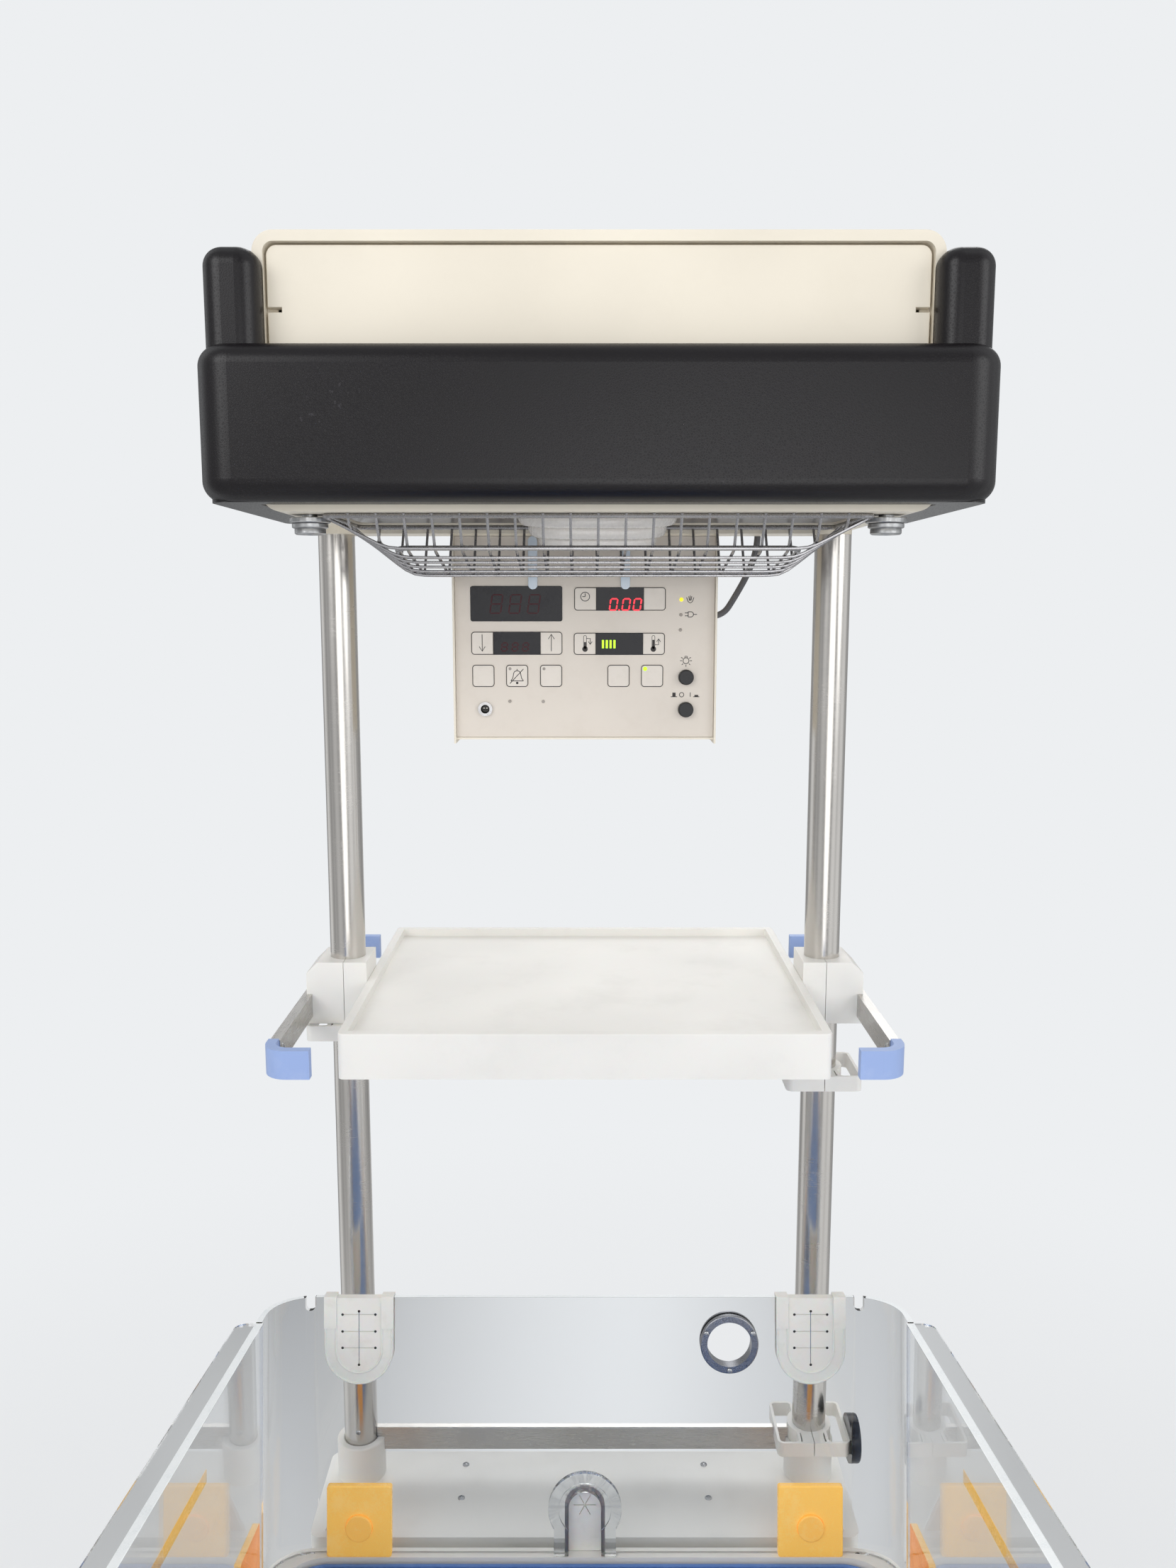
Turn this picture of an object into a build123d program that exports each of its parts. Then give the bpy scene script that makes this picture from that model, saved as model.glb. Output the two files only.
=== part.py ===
from build123d import *
from math import cos, radians, sin
import os

os.makedirs("parts", exist_ok=True)

# Shared sizes
seat_gap = 0.3
run_gap = 0.05

# Standing heights above the floor
deck_height = 830.0
column_rise = 1075.0
bed_tilt = 8.25

# Columns
column_diameter = 38.0
column_wall = 2.0
column_spacing = 520.0
socket_diameter = 55.0
socket_height = 46.0
socket_lip = 4.0

# Bed, measured in its own tilted axes from the foot of the back panel
bed_length = 780.0
bed_half_width = 331.0
panel_rise = 273.0
panel_wall = 8.0
back_wall = 6.0
panel_flange = 19.0
flange_depth = 4.0
panel_gap = 3.0
corner_radius = 50.0
corner_reach = 61.0
bed_setback = 129.0
rim_drop = 0.5
rim_margin = 3.0
tub_depth = 70.0
tub_wall = 6.0
tub_back = 12.0
hinge_drop = 6.0
hinge_out = 9.0
knuckle_radius = 5.5
hinge_pin_radius = 3.0

# Heater hood
hood_x = 12.0
hood_width = 588.0
hood_height = 233.0
hood_front = 220.0
hood_back = 80.0
hood_corner = 18.0
hood_rim = 9.0
hood_recess = 14.0
beam_height = 8.0
beam_depth = 50.0

# Side rails of the tray, which reach furthest to the rear
rail_length = 348.0
cap_turn = 24.0
cap_wall = 10.0

# Places that follow from the sizes above
tilt = radians(bed_tilt)
hinge_y = -(bed_length + panel_wall + hinge_out)
front_reach = bed_setback - hinge_y * cos(tilt) + hinge_drop * sin(tilt) + knuckle_radius
mast_y = (front_reach - rail_length / 2 - cap_wall - cap_turn) / 2
deck = Plane((0, mast_y, deck_height))
bed = Plane(origin=(0, mast_y - bed_setback, deck_height), x_dir=(1, 0, 0), z_dir=(0, sin(tilt), cos(tilt)))
floor = Plane.XY
column_x = column_spacing / 2
column_radius = column_diameter / 2
pieces = {}


def spot(datum, look, x, y, z):
    """Give the plane that looks up, forwards or to the right at a place in the datum's own axes."""
    local = Plane(origin=(x, y, z), x_dir=look.x_dir, z_dir=look.z_dir)
    return Plane(datum.location * local.location)


UP = Plane.XY
AHEAD = Plane.XZ
ASIDE = Plane.YZ
middle = Plane.YZ

# Casters
wheel_radius = 50.0
wheel_width = 28.0
wheel_bevel = 5.0
axle_radius = 5.0
caster_trail = 32.0
fork_cheek = 5.0
fork_gap = 2.0
fork_half = 17.0
stem_radius = 8.0
stem_length = 28.0
fork_crown = 10.0
fork_clear = 6.0
caster_x = 265.0
caster_y = 370.0
brake_reach = 40.0
brake_width = 44.0
brake_depth = 5.0
brake_lug = 8.0
cheek_span = wheel_width + 2 * fork_gap
cheek_outside = cheek_span / 2 + fork_cheek
crown_base = 2 * wheel_radius + fork_clear
caster_height = crown_base + fork_crown
corners = {"front_left": (-1, -1), "front_right": (1, -1), "rear_left": (-1, 1), "rear_right": (1, 1)}

# Chassis
rail_width = 64.0
rail_height = 54.0
rail_overhang = 44.0
rail_wall = 5.0
boss_radius = 16.0
cross_depth = 150.0
rail_corner = 22.0
lift_lead = 330.0
lift_y = mast_y - lift_lead
chassis_base = caster_height + seat_gap
chassis_top = chassis_base + rail_height
socket_bore = stem_radius + run_gap
pedal_pin = 5.0
ear_radius = 12.0
ear_wall = 8.0
pedal_hub = 60.0
pedal_width = 120.0
pedal_length = 80.0
pedal_wall = 8.0
pedal_fall = 20.0
pedal_pad_z = ear_radius - 2 * pedal_wall - pedal_fall
ear_y = lift_y - cross_depth / 2 - ear_radius - seat_gap
ear_z = chassis_base + rail_height / 2
ear_x = (pedal_hub + ear_wall) / 2 + seat_gap

with BuildPart() as chassis:
    with BuildSketch(spot(floor, UP, 0, 0, chassis_base)):
        with Locations((-caster_x, 0), (caster_x, 0)):
            RectangleRounded(rail_width, 2 * (caster_y + rail_overhang), rail_corner)
        with Locations((0, lift_y)):
            Rectangle(2 * caster_x, cross_depth)
    extrude(amount=rail_height)
    fillet(chassis.edges().group_by(Axis.Z)[-1], radius=rail_corner / 3)
    with BuildSketch(spot(floor, UP, 0, 0, chassis_base)):
        with Locations((-caster_x, 0), (caster_x, 0)):
            RectangleRounded(
                rail_width - 2 * rail_wall, 2 * (caster_y + rail_overhang - rail_wall),
                rail_corner - rail_wall,
            )
        with Locations((0, lift_y)):
            Rectangle(2 * caster_x, cross_depth - 2 * rail_wall)
        with Locations(*[(side * caster_x, end * caster_y) for side, end in corners.values()]):
            Circle(boss_radius, mode=Mode.SUBTRACT)
    extrude(amount=rail_height - rail_wall, mode=Mode.SUBTRACT)
    with BuildSketch(spot(floor, UP, 0, 0, chassis_base)):
        with Locations(*[(side * caster_x, end * caster_y) for side, end in corners.values()]):
            Circle(socket_bore)
    extrude(amount=stem_length + seat_gap, mode=Mode.SUBTRACT)
    for hand in (-1, 1):
        with BuildSketch(spot(floor, ASIDE, hand * ear_x, ear_y, ear_z)):
            Circle(ear_radius)
            with Locations((ear_radius, 0)):
                Rectangle(2 * ear_radius, 2 * ear_radius)
            Circle(pedal_pin + run_gap, mode=Mode.SUBTRACT)
        extrude(amount=ear_wall / 2, both=True)
pieces["chassis"] = chassis

# Foot pedal that works the lift
with BuildPart() as foot_pedal:
    with BuildSketch(spot(floor, ASIDE, 0, ear_y, ear_z)):
        Circle(ear_radius - seat_gap)
        with BuildLine():
            Polyline(
                (0, ear_radius - pedal_wall), (-pedal_length, ear_radius - pedal_wall - pedal_fall),
                (-pedal_length, pedal_pad_z), (0, -pedal_wall / 2),
                (0, ear_radius - pedal_wall),
            )
        make_face()
    extrude(amount=pedal_hub / 2, both=True)
    with BuildSketch(spot(floor, ASIDE, 0, ear_y, ear_z)):
        Circle(pedal_pin)
    extrude(amount=pedal_hub / 2 + seat_gap + ear_wall, both=True)
    with BuildSketch(spot(floor, UP, 0, ear_y - pedal_length, ear_z + pedal_pad_z)):
        RectangleRounded(pedal_width, pedal_length / 2, pedal_wall)
    extrude(amount=pedal_wall)
pieces["foot_pedal"] = foot_pedal

for corner, (side, end) in corners.items():
    pivot = Plane((side * caster_x, end * caster_y, 0))
    axle_y = end * caster_trail
    axle = spot(pivot, ASIDE, 0, axle_y, wheel_radius)
    with BuildPart() as fork:
        with BuildSketch(spot(pivot, UP, 0, axle_y / 2, crown_base)):
            SlotOverall(caster_trail + 2 * cheek_outside, 2 * cheek_outside, rotation=90)
        extrude(amount=fork_crown)
        with BuildSketch(spot(pivot, UP, 0, 0, caster_height)):
            Circle(stem_radius)
        extrude(amount=stem_length)
        for hand in (-1, 1):
            x = hand * (cheek_outside - fork_cheek / 2)
            with BuildSketch(spot(pivot, ASIDE, x, axle_y, wheel_radius)):
                with BuildLine():
                    Polyline(
                        (-fork_half * end, 0), (-axle_y, crown_base - wheel_radius),
                        (0, crown_base - wheel_radius), (fork_half * end, 0), (-fork_half * end, 0),
                    )
                make_face()
                Circle(fork_half)
            extrude(amount=fork_cheek / 2, both=True)
        with BuildSketch(axle):
            Circle(axle_radius)
        extrude(amount=cheek_outside + seat_gap + brake_depth, both=True)
    pieces["caster_fork_" + corner] = fork

    with BuildPart() as wheel:
        with BuildSketch(axle):
            Circle(wheel_radius)
        extrude(amount=wheel_width / 2, both=True)
        chamfer(wheel.edges().filter_by(GeomType.CIRCLE), length=wheel_bevel)
        with BuildSketch(axle):
            Circle(axle_radius + run_gap)
        extrude(amount=wheel_width, both=True, mode=Mode.SUBTRACT)
    pieces["caster_wheel_" + corner] = wheel

# Brake pedals of the two casters at the front
pedal_gap = 2.0
pedal_y = -caster_trail - wheel_radius - brake_reach / 2 - pedal_gap
pedal_z = wheel_radius + brake_lug
for corner in ("front_left", "front_right"):
    side, end = corners[corner]
    pivot = Plane((side * caster_x, end * caster_y, 0))
    with BuildPart() as brake:
        with BuildSketch(spot(pivot, UP, 0, pedal_y, pedal_z)):
            RectangleRounded(brake_width, brake_reach, brake_lug / 2)
        extrude(amount=brake_depth)
        for hand in (-1, 1):
            x = hand * (cheek_outside + seat_gap + brake_depth / 2)
            with BuildSketch(spot(pivot, ASIDE, x, -caster_trail, wheel_radius)):
                with BuildLine():
                    Polyline(
                        (0, -brake_lug), (-wheel_radius - brake_lug, 0),
                        (-wheel_radius - brake_lug, brake_lug + brake_depth), (0, brake_lug), (0, -brake_lug),
                    )
                make_face()
                Circle(brake_lug)
                Circle(axle_radius + run_gap, mode=Mode.SUBTRACT)
            extrude(amount=brake_depth / 2, both=True)
    pieces["caster_brake_" + corner] = brake

# Lift column
lift_width = 170.0
lift_depth = 120.0
lift_wall = 6.0
lift_corner = 14.0
lift_round = 3.0
inner_gap = 0.6
lift_outer_top = 560.0
lift_overlap = 300.0
beam_plate = 5.0
beam_thick = 46.0
carrier_drop = 150.0
beam_base = deck_height - carrier_drop
beam_top = beam_base + beam_thick
inner_width = lift_width - 2 * (lift_wall + inner_gap)
inner_depth = lift_depth - 2 * (lift_wall + inner_gap)

with BuildPart() as lift_outer:
    with BuildSketch(spot(floor, UP, 0, lift_y, chassis_top)):
        RectangleRounded(lift_width, lift_depth, lift_corner)
        RectangleRounded(
            lift_width - 2 * lift_wall, lift_depth - 2 * lift_wall, lift_corner - lift_wall,
            mode=Mode.SUBTRACT,
        )
    extrude(amount=lift_outer_top - chassis_top)
pieces["lift_outer"] = lift_outer

with BuildPart() as lift_inner:
    with BuildSketch(spot(floor, UP, 0, lift_y, lift_outer_top - lift_overlap)):
        RectangleRounded(inner_width, inner_depth, lift_corner - lift_wall)
        RectangleRounded(
            inner_width - 2 * lift_wall, inner_depth - 2 * lift_wall, lift_round, mode=Mode.SUBTRACT
        )
    extrude(amount=beam_top - beam_plate - lift_outer_top + lift_overlap)
pieces["lift_inner"] = lift_inner

# Carrier that the bed and the mast stand on
pivot_y = -400.0
pivot_drop = 95.0
shaft_radius = 8.0
lug_radius = 18.0
lug_wall = 14.0
lug_x = 62.0
cheek_gap = 2.0
cheek_x = lug_x + lug_wall + cheek_gap
beam_half = cheek_x + lug_wall / 2
cross_margin = 30.0
cross_width = column_spacing + 2 * cross_margin
cross_front = 92.0
cross_back = 33.0
deck_sheet = 3.0
pivot = Plane(bed.location * Location((0, pivot_y, -pivot_drop)))
pivot_at = pivot.origin
beam_front = pivot_at.Y - lug_radius - lift_wall
beam_back = mast_y + cross_back - deck_sheet
cross_base = beam_base
cross_top = deck_height - deck_sheet

with BuildPart() as bed_carrier:
    with BuildSketch(spot(floor, UP, 0, (beam_front + beam_back) / 2, beam_base)):
        RectangleRounded(2 * beam_half, beam_back - beam_front, lift_wall)
    extrude(amount=beam_thick)
    with BuildSketch(spot(floor, UP, 0, mast_y + (cross_back - deck_sheet - cross_front) / 2, cross_base)):
        RectangleRounded(cross_width, cross_back + cross_front - deck_sheet, lift_wall)
    extrude(amount=cross_top - cross_base)
    with BuildSketch(spot(floor, UP, 0, (beam_front + beam_back) / 2, beam_base)):
        Rectangle(2 * beam_half - 2 * beam_plate, beam_back - beam_front - 2 * beam_plate)
    extrude(amount=beam_thick - beam_plate, mode=Mode.SUBTRACT)
    with BuildSketch(spot(floor, UP, 0, mast_y + (cross_back - deck_sheet - cross_front) / 2, cross_base)):
        Rectangle(cross_width - 2 * beam_plate, cross_back + cross_front - deck_sheet - 2 * beam_plate)
    extrude(amount=cross_top - cross_base - beam_plate, mode=Mode.SUBTRACT)
    with BuildSketch(spot(deck, UP, 0, 0, -deck_sheet)):
        with Locations((-column_x, 0), (column_x, 0)):
            Circle(column_radius + lift_wall)
    extrude(amount=-socket_height - lift_wall)
    for hand in (-1, 1):
        with BuildSketch(spot(floor, ASIDE, hand * cheek_x, pivot_at.Y, pivot_at.Z)):
            Circle(lug_radius)
            with Locations((0, (beam_top - pivot_at.Z) / 2)):
                Rectangle(2 * lug_radius, pivot_at.Z - beam_top)
        extrude(amount=lug_wall / 2, both=True)
    with BuildSketch(spot(floor, ASIDE, 0, pivot_at.Y, pivot_at.Z)):
        Circle(shaft_radius)
    extrude(amount=cheek_x, both=True)
    with BuildSketch(spot(deck, UP, 0, 0, -deck_sheet)):
        with Locations((-column_x, 0), (column_x, 0)):
            Circle(column_radius + run_gap)
    extrude(amount=-socket_height, mode=Mode.SUBTRACT)
pieces["bed_carrier"] = bed_carrier

# Deck plate with its two side brackets, screws and column sockets
deck_overhang = 10.0
deck_width = cross_width + 2 * deck_overhang
deck_front = 105.0
deck_back = 33.0
bracket_edge = 16.0
bracket_inner = deck_width / 2 - bracket_edge
bracket_top_share = 0.25
bracket_width = 26.0
bracket_height = 50.0
bracket_setback = 10.0
screw_radius = 4.0
screw_head = 2.0
screw_x = 140.0
screw_row_shares = (0.0952, -0.4286)
deck_corner = 12.0
deck_skirt = 18.0

with BuildPart() as deck_plate:
    with BuildSketch(spot(deck, UP, 0, (deck_back - deck_front) / 2, -deck_sheet)):
        RectangleRounded(deck_width, deck_back + deck_front, deck_corner)
    extrude(amount=deck_sheet)
    with BuildSketch(spot(deck, UP, 0, (deck_back - deck_front) / 2, -deck_skirt)):
        RectangleRounded(deck_width, deck_back + deck_front, deck_corner)
        RectangleRounded(
            deck_width - 2 * deck_sheet, deck_back + deck_front - 2 * deck_sheet, deck_corner - deck_sheet,
            mode=Mode.SUBTRACT,
        )
    extrude(amount=deck_skirt - deck_sheet)
    with BuildSketch(spot(deck, AHEAD, 0, bracket_setback - deck_front, 0)):
        with BuildLine():
            Polyline(
                (bracket_inner - bracket_width, 0), (bracket_inner, 0),
                (bracket_inner - bracket_width * (1 - bracket_top_share), bracket_height),
                (bracket_inner - bracket_width, bracket_height), (bracket_inner - bracket_width, 0),
            )
        make_face()
    extrude(amount=-deck_sheet)
    mirror(about=middle)
    with BuildSketch(spot(deck, UP, 0, 0, -deck_sheet)):
        with Locations((-column_x, 0), (column_x, 0)):
            Circle(column_radius + run_gap)
    extrude(amount=deck_sheet, mode=Mode.SUBTRACT)
pieces["deck_plate"] = deck_plate

with BuildPart() as deck_screws:
    with BuildSketch(spot(deck, UP, 0, 0, 0)):
        with Locations(*[(hand * screw_x, row * deck_front) for hand in (-1, 1) for row in screw_row_shares]):
            Circle(screw_radius)
    extrude(amount=screw_head)
    fillet(deck_screws.edges().group_by(Axis.Z)[-1], radius=screw_head / 2)
pieces["deck_screws"] = deck_screws

with BuildPart() as column_sockets:
    with BuildSketch(spot(deck, UP, 0, 0, 0)):
        with Locations((-column_x, 0), (column_x, 0)):
            Circle(socket_diameter / 2)
            Circle(column_radius, mode=Mode.SUBTRACT)
    extrude(amount=socket_height)
    fillet(column_sockets.edges().group_by(Axis.Z)[-1], radius=socket_lip / 2)
pieces["column_sockets"] = column_sockets

# Columns stand in the carrier and carry the beam
column_sink = deck_sheet + socket_height
with BuildPart() as columns:
    with BuildSketch(spot(deck, UP, 0, 0, -column_sink)):
        with Locations((-column_x, 0), (column_x, 0)):
            Circle(column_radius)
            Circle(column_radius - column_wall, mode=Mode.SUBTRACT)
    extrude(amount=column_rise + column_sink)
pieces["columns"] = columns

# Cross bar behind the sockets
bar_height = 28.0
bar_depth = 8.0
bar_rise = 30.0
with BuildPart() as cross_bar:
    with BuildSketch(spot(deck, UP, 0, 0, bar_rise)):
        Rectangle(column_spacing - column_diameter, bar_depth)
    extrude(amount=bar_height)
    with BuildSketch(spot(deck, UP, 0, 0, bar_rise)):
        with Locations((-column_x, 0), (column_x, 0)):
            Circle(socket_diameter / 2)
    extrude(amount=socket_height - bar_rise, mode=Mode.SUBTRACT)
    fillet(cross_bar.edges().filter_by(Axis.X), radius=screw_head / 2)
pieces["cross_bar"] = cross_bar

# Beam across the column heads
hood_base = column_rise + beam_height
with BuildPart() as mast_beam:
    with BuildSketch(spot(deck, UP, 0, 0, column_rise)):
        SlotOverall(column_spacing + column_diameter, beam_depth)
    extrude(amount=beam_height)
    with BuildSketch(spot(deck, UP, 0, 0, column_rise)):
        with Locations((-column_x, 0), (column_x, 0)):
            Circle(column_radius - column_wall - run_gap)
    extrude(amount=-beam_depth)
pieces["mast_beam"] = mast_beam

# Heater hood: a folded housing, open below and in front
hood = Plane((hood_x, mast_y, deck_height + hood_base))
hood_depth = hood_front + hood_back
hood_wall = 2.0
mouth_width = 480.0
mouth_front = 200.0
mouth_back = 35.0
mouth_depth = mouth_front - mouth_back
mouth_y = -(mouth_front + mouth_back) / 2

with BuildPart() as hood_shell:
    with BuildSketch(spot(hood, AHEAD, 0, hood_back, hood_height / 2)):
        RectangleRounded(hood_width, hood_height, hood_corner)
    extrude(amount=hood_depth)
    with BuildSketch(spot(hood, AHEAD, 0, -hood_front + hood_recess, hood_height / 2)):
        RectangleRounded(hood_width - 2 * hood_rim, hood_height - 2 * hood_rim, hood_corner - hood_rim)
    extrude(amount=hood_recess, mode=Mode.SUBTRACT)
    with BuildSketch(spot(hood, AHEAD, 0, hood_back - hood_wall, hood_height / 2)):
        RectangleRounded(hood_width - 2 * hood_wall, hood_height - 2 * hood_wall, hood_corner - hood_wall)
    extrude(amount=hood_depth - hood_recess - 2 * hood_wall, mode=Mode.SUBTRACT)
    with BuildSketch(spot(hood, AHEAD, 0, -hood_front + hood_recess, hood_height / 2)):
        RectangleRounded(hood_width - 4 * hood_rim, hood_height - 4 * hood_rim, hood_corner - hood_rim)
    extrude(amount=-hood_wall, mode=Mode.SUBTRACT)
    with BuildSketch(spot(hood, UP, 0, mouth_y, 0)):
        RectangleRounded(mouth_width, mouth_depth, hood_corner)
    extrude(amount=hood_wall, mode=Mode.SUBTRACT)
pieces["hood_shell"] = hood_shell

panel_shadow = 2.0
notch_width = 12.0
notch_height = 4.0
notch_drop = 64.0
inset = 4.0
front_width = hood_width - 2 * hood_rim - 2 * panel_shadow
front_height = hood_height - 2 * hood_rim - 2 * panel_shadow
with BuildPart() as hood_front_panel:
    with BuildSketch(spot(hood, AHEAD, 0, -hood_front + hood_recess, hood_height / 2)):
        RectangleRounded(front_width, front_height, hood_corner - hood_rim)
        with Locations(*[(hand * front_width / 2, hood_height / 2 - notch_drop) for hand in (-1, 1)]):
            Rectangle(2 * notch_width, notch_height, mode=Mode.SUBTRACT)
    extrude(amount=hood_recess - inset)
    fillet(hood_front_panel.faces().sort_by(Axis.Y)[0].outer_wire().edges(), radius=panel_shadow / 2)
    with BuildSketch(spot(hood, AHEAD, 0, -hood_front + hood_recess, hood_height / 2)):
        RectangleRounded(front_width - 4 * notch_width, front_height - 2 * hood_wall, hood_wall)
    extrude(amount=hood_recess - inset - hood_wall, mode=Mode.SUBTRACT)
pieces["hood_front_panel"] = hood_front_panel

# Foam bumper round the front and the sides of the hood
bumper_bar = 40.0
bumper_arm = 46.0
bumper_step = 7.0
bumper_hook = 9.0
bumper_lead = 25.0
bumper_height = 130.0
bumper_lift = 6.0
arm_height = 210.0
arm_back = 50.0
bumper_round = 18.0
bumper_corner = 32.0
bumper_half = hood_width / 2 + bumper_arm
arm_width = bumper_arm + bumper_hook - bumper_step
arm_x = bumper_half - bumper_step - arm_width / 2
arm_length = hood_front + bumper_lead + arm_back
with BuildPart() as hood_bumper:
    with BuildSketch(spot(hood, UP, 0, -hood_front - bumper_bar / 2, bumper_lift)):
        Rectangle(2 * bumper_half, bumper_bar)
    extrude(amount=bumper_height)
    fillet(hood_bumper.edges().filter_by(Axis.Z).group_by(Axis.Y)[0], radius=bumper_corner)
    fillet(hood_bumper.faces().sort_by(Axis.Z)[-1].edges().sort_by(Axis.Y)[:-1], radius=bumper_round)
    fillet(hood_bumper.faces().sort_by(Axis.Z)[0].edges().sort_by(Axis.Y)[:-1], radius=bumper_round)
    with BuildSketch(spot(hood, UP, 0, 0, bumper_lift)):
        with Locations(*[(hand * arm_x, arm_back - arm_length / 2) for hand in (-1, 1)]):
            RectangleRounded(arm_width, arm_length, bumper_round)
    extrude(amount=arm_height)
    fillet(hood_bumper.faces().group_by(Axis.Z)[-1].edges(), radius=bumper_round - screw_head)
    with BuildSketch(spot(hood, UP, 0, (hood_depth - 2 * hood_front) / 2, 0)):
        Rectangle(hood_width, hood_depth)
    extrude(amount=hood_height, mode=Mode.SUBTRACT)
pieces["hood_bumper"] = hood_bumper

# Reflector pan inside the mouth, with a hole for each lamp
reflector_rise = 16.0
reflector_flange = 3.0
reflector_wall = 1.5
roof_width = 430.0
roof_depth = 110.0
lamp_x = 158.0
lamp_radius = 42.0
lamp_wall = 2.0
lamp_height = 52.0
lamp_flange = 6.0
bulb_radius = 12.0
bulb_length = 30.0
bulb_neck = 6.0
roof_z = hood_wall + reflector_wall + reflector_rise
with BuildPart() as reflector:
    with BuildSketch(spot(hood, UP, 0, mouth_y, hood_wall)):
        RectangleRounded(mouth_width + 2 * reflector_flange, mouth_depth + 2 * reflector_flange, hood_corner)
    extrude(amount=reflector_wall)
    with BuildSketch(spot(hood, UP, 0, mouth_y, hood_wall + reflector_wall)):
        RectangleRounded(mouth_width, mouth_depth, hood_corner)
    with BuildSketch(spot(hood, UP, 0, mouth_y, roof_z)):
        RectangleRounded(roof_width, roof_depth, hood_corner)
    loft()
    with BuildSketch(spot(hood, UP, 0, mouth_y, hood_wall)):
        RectangleRounded(mouth_width - 2 * reflector_wall, mouth_depth - 2 * reflector_wall, hood_corner)
    with BuildSketch(spot(hood, UP, 0, mouth_y, roof_z - reflector_wall)):
        RectangleRounded(roof_width - 2 * reflector_wall, roof_depth - 2 * reflector_wall, hood_corner)
    loft(mode=Mode.SUBTRACT)
    with BuildSketch(spot(hood, UP, 0, mouth_y, roof_z - reflector_wall)):
        with Locations((-lamp_x, 0), (lamp_x, 0)):
            Circle(lamp_radius)
    extrude(amount=reflector_wall, mode=Mode.SUBTRACT)
pieces["reflector"] = reflector

with BuildPart() as exam_lamps:
    for hand in (-1, 1):
        with BuildSketch(spot(hood, AHEAD, hand * lamp_x, mouth_y, roof_z)):
            with BuildLine():
                Polyline(
                    (lamp_radius + lamp_flange, 0), (lamp_radius + lamp_flange, lamp_wall),
                    (lamp_radius, lamp_wall), (lamp_radius / 2, lamp_height), (0, lamp_height),
                    (0, lamp_height - lamp_wall), (lamp_radius / 2 - lamp_wall, lamp_height - lamp_wall),
                    (lamp_radius - lamp_wall, 0), (lamp_radius + lamp_flange, 0),
                )
            make_face()
        revolve(axis=Axis(spot(hood, UP, hand * lamp_x, mouth_y, roof_z).origin, (0, 0, 1)))
    for hand in (-1, 1):
        with BuildSketch(spot(hood, AHEAD, hand * lamp_x, mouth_y, roof_z + lamp_height - lamp_wall)):
            with BuildLine():
                Polyline((0, 0), (bulb_neck, 0), (bulb_neck, -bulb_neck))
                Line((bulb_neck, -bulb_neck), (bulb_radius, bulb_radius - bulb_length))
                RadiusArc((bulb_radius, bulb_radius - bulb_length), (0, -bulb_length), bulb_radius)
                Line((0, -bulb_length), (0, 0))
            make_face()
        revolve(axis=Axis(spot(hood, UP, hand * lamp_x, mouth_y, roof_z).origin, (0, 0, 1)))
pieces["exam_lamps"] = exam_lamps

# Ribbed ceramic heater that hangs from the reflector roof
heater_width = 176.0
heater_depth = 104.0
heater_ribs = 4
heater_rib_height = 11.0
heater_step_x = 11.0
heater_step_y = 8.0
heater_tilt = 9.5
heater_top = roof_z - reflector_wall
heater = Plane(spot(hood, UP, 0, mouth_y, heater_top).location * Location((0, 0, 0), (-heater_tilt, 0, 0)))
with BuildPart() as heater_block:
    for rib in range(heater_ribs):
        with BuildSketch(spot(heater, UP, 0, 0, -heater_rib_height * (rib + 1))):
            SlotOverall(heater_width - 2 * heater_step_x * rib, heater_depth - 2 * heater_step_y * rib)
        extrude(amount=heater_rib_height)
    lowest = heater_block.edges().filter_by(GeomType.LINE, reverse=True).sort_by(Axis.Z)[:2]
    fillet(lowest, radius=heater_rib_height / 4)
    with BuildSketch(spot(hood, UP, 0, mouth_y, heater_top)):
        Rectangle(2 * heater_width, 2 * heater_depth)
    extrude(amount=heater_depth, mode=Mode.SUBTRACT)
pieces["heater_block"] = heater_block

# Wire guard below the mouth, a grid with sloping sides
guard_wall = 2.4
guard_width = 366.0
guard_depth = 116.0
guard_y = -123.0
guard_drop_front = 32.0
guard_drop_back = 51.0
guard_rim = 8.0
guard_seat = 6.0
guard_columns = 20
guard_rows = 8
guard_wire = 3.0
guard_tilt = (guard_drop_back - guard_drop_front) / guard_depth
guard_face = Plane(
    origin=spot(hood, UP, 0, guard_y, -(guard_drop_front + guard_drop_back) / 2).origin,
    x_dir=(1, 0, 0), z_dir=(0, guard_tilt, 1),
)
guard_span = mouth_width + 2 * guard_seat
guard_run = mouth_depth + 2 * guard_seat
guard_pitch_x = guard_span / guard_columns
guard_pitch_y = guard_run / guard_rows
with BuildPart() as wire_guard:
    with BuildSketch(spot(hood, UP, 0, mouth_y, 0)):
        Rectangle(guard_span, guard_run)
    with BuildSketch(guard_face):
        Rectangle(guard_width, guard_depth)
    loft()
    with BuildSketch(spot(hood, UP, 0, mouth_y, 0)):
        Rectangle(guard_span - 2 * guard_wall, guard_run - 2 * guard_wall)
    with BuildSketch(guard_face.offset(guard_wall)):
        Rectangle(guard_width - 2 * guard_wall, guard_depth - 2 * guard_wall)
    loft(mode=Mode.SUBTRACT)
    with BuildSketch(spot(hood, UP, 0, mouth_y, -guard_drop_back - guard_wall)):
        with GridLocations(guard_pitch_x, guard_pitch_y, guard_columns, guard_rows):
            Rectangle(guard_pitch_x - guard_wire, guard_pitch_y - guard_wire)
    extrude(amount=guard_drop_back + guard_wall - guard_rim, mode=Mode.SUBTRACT)
pieces["wire_guard"] = wire_guard

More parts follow.
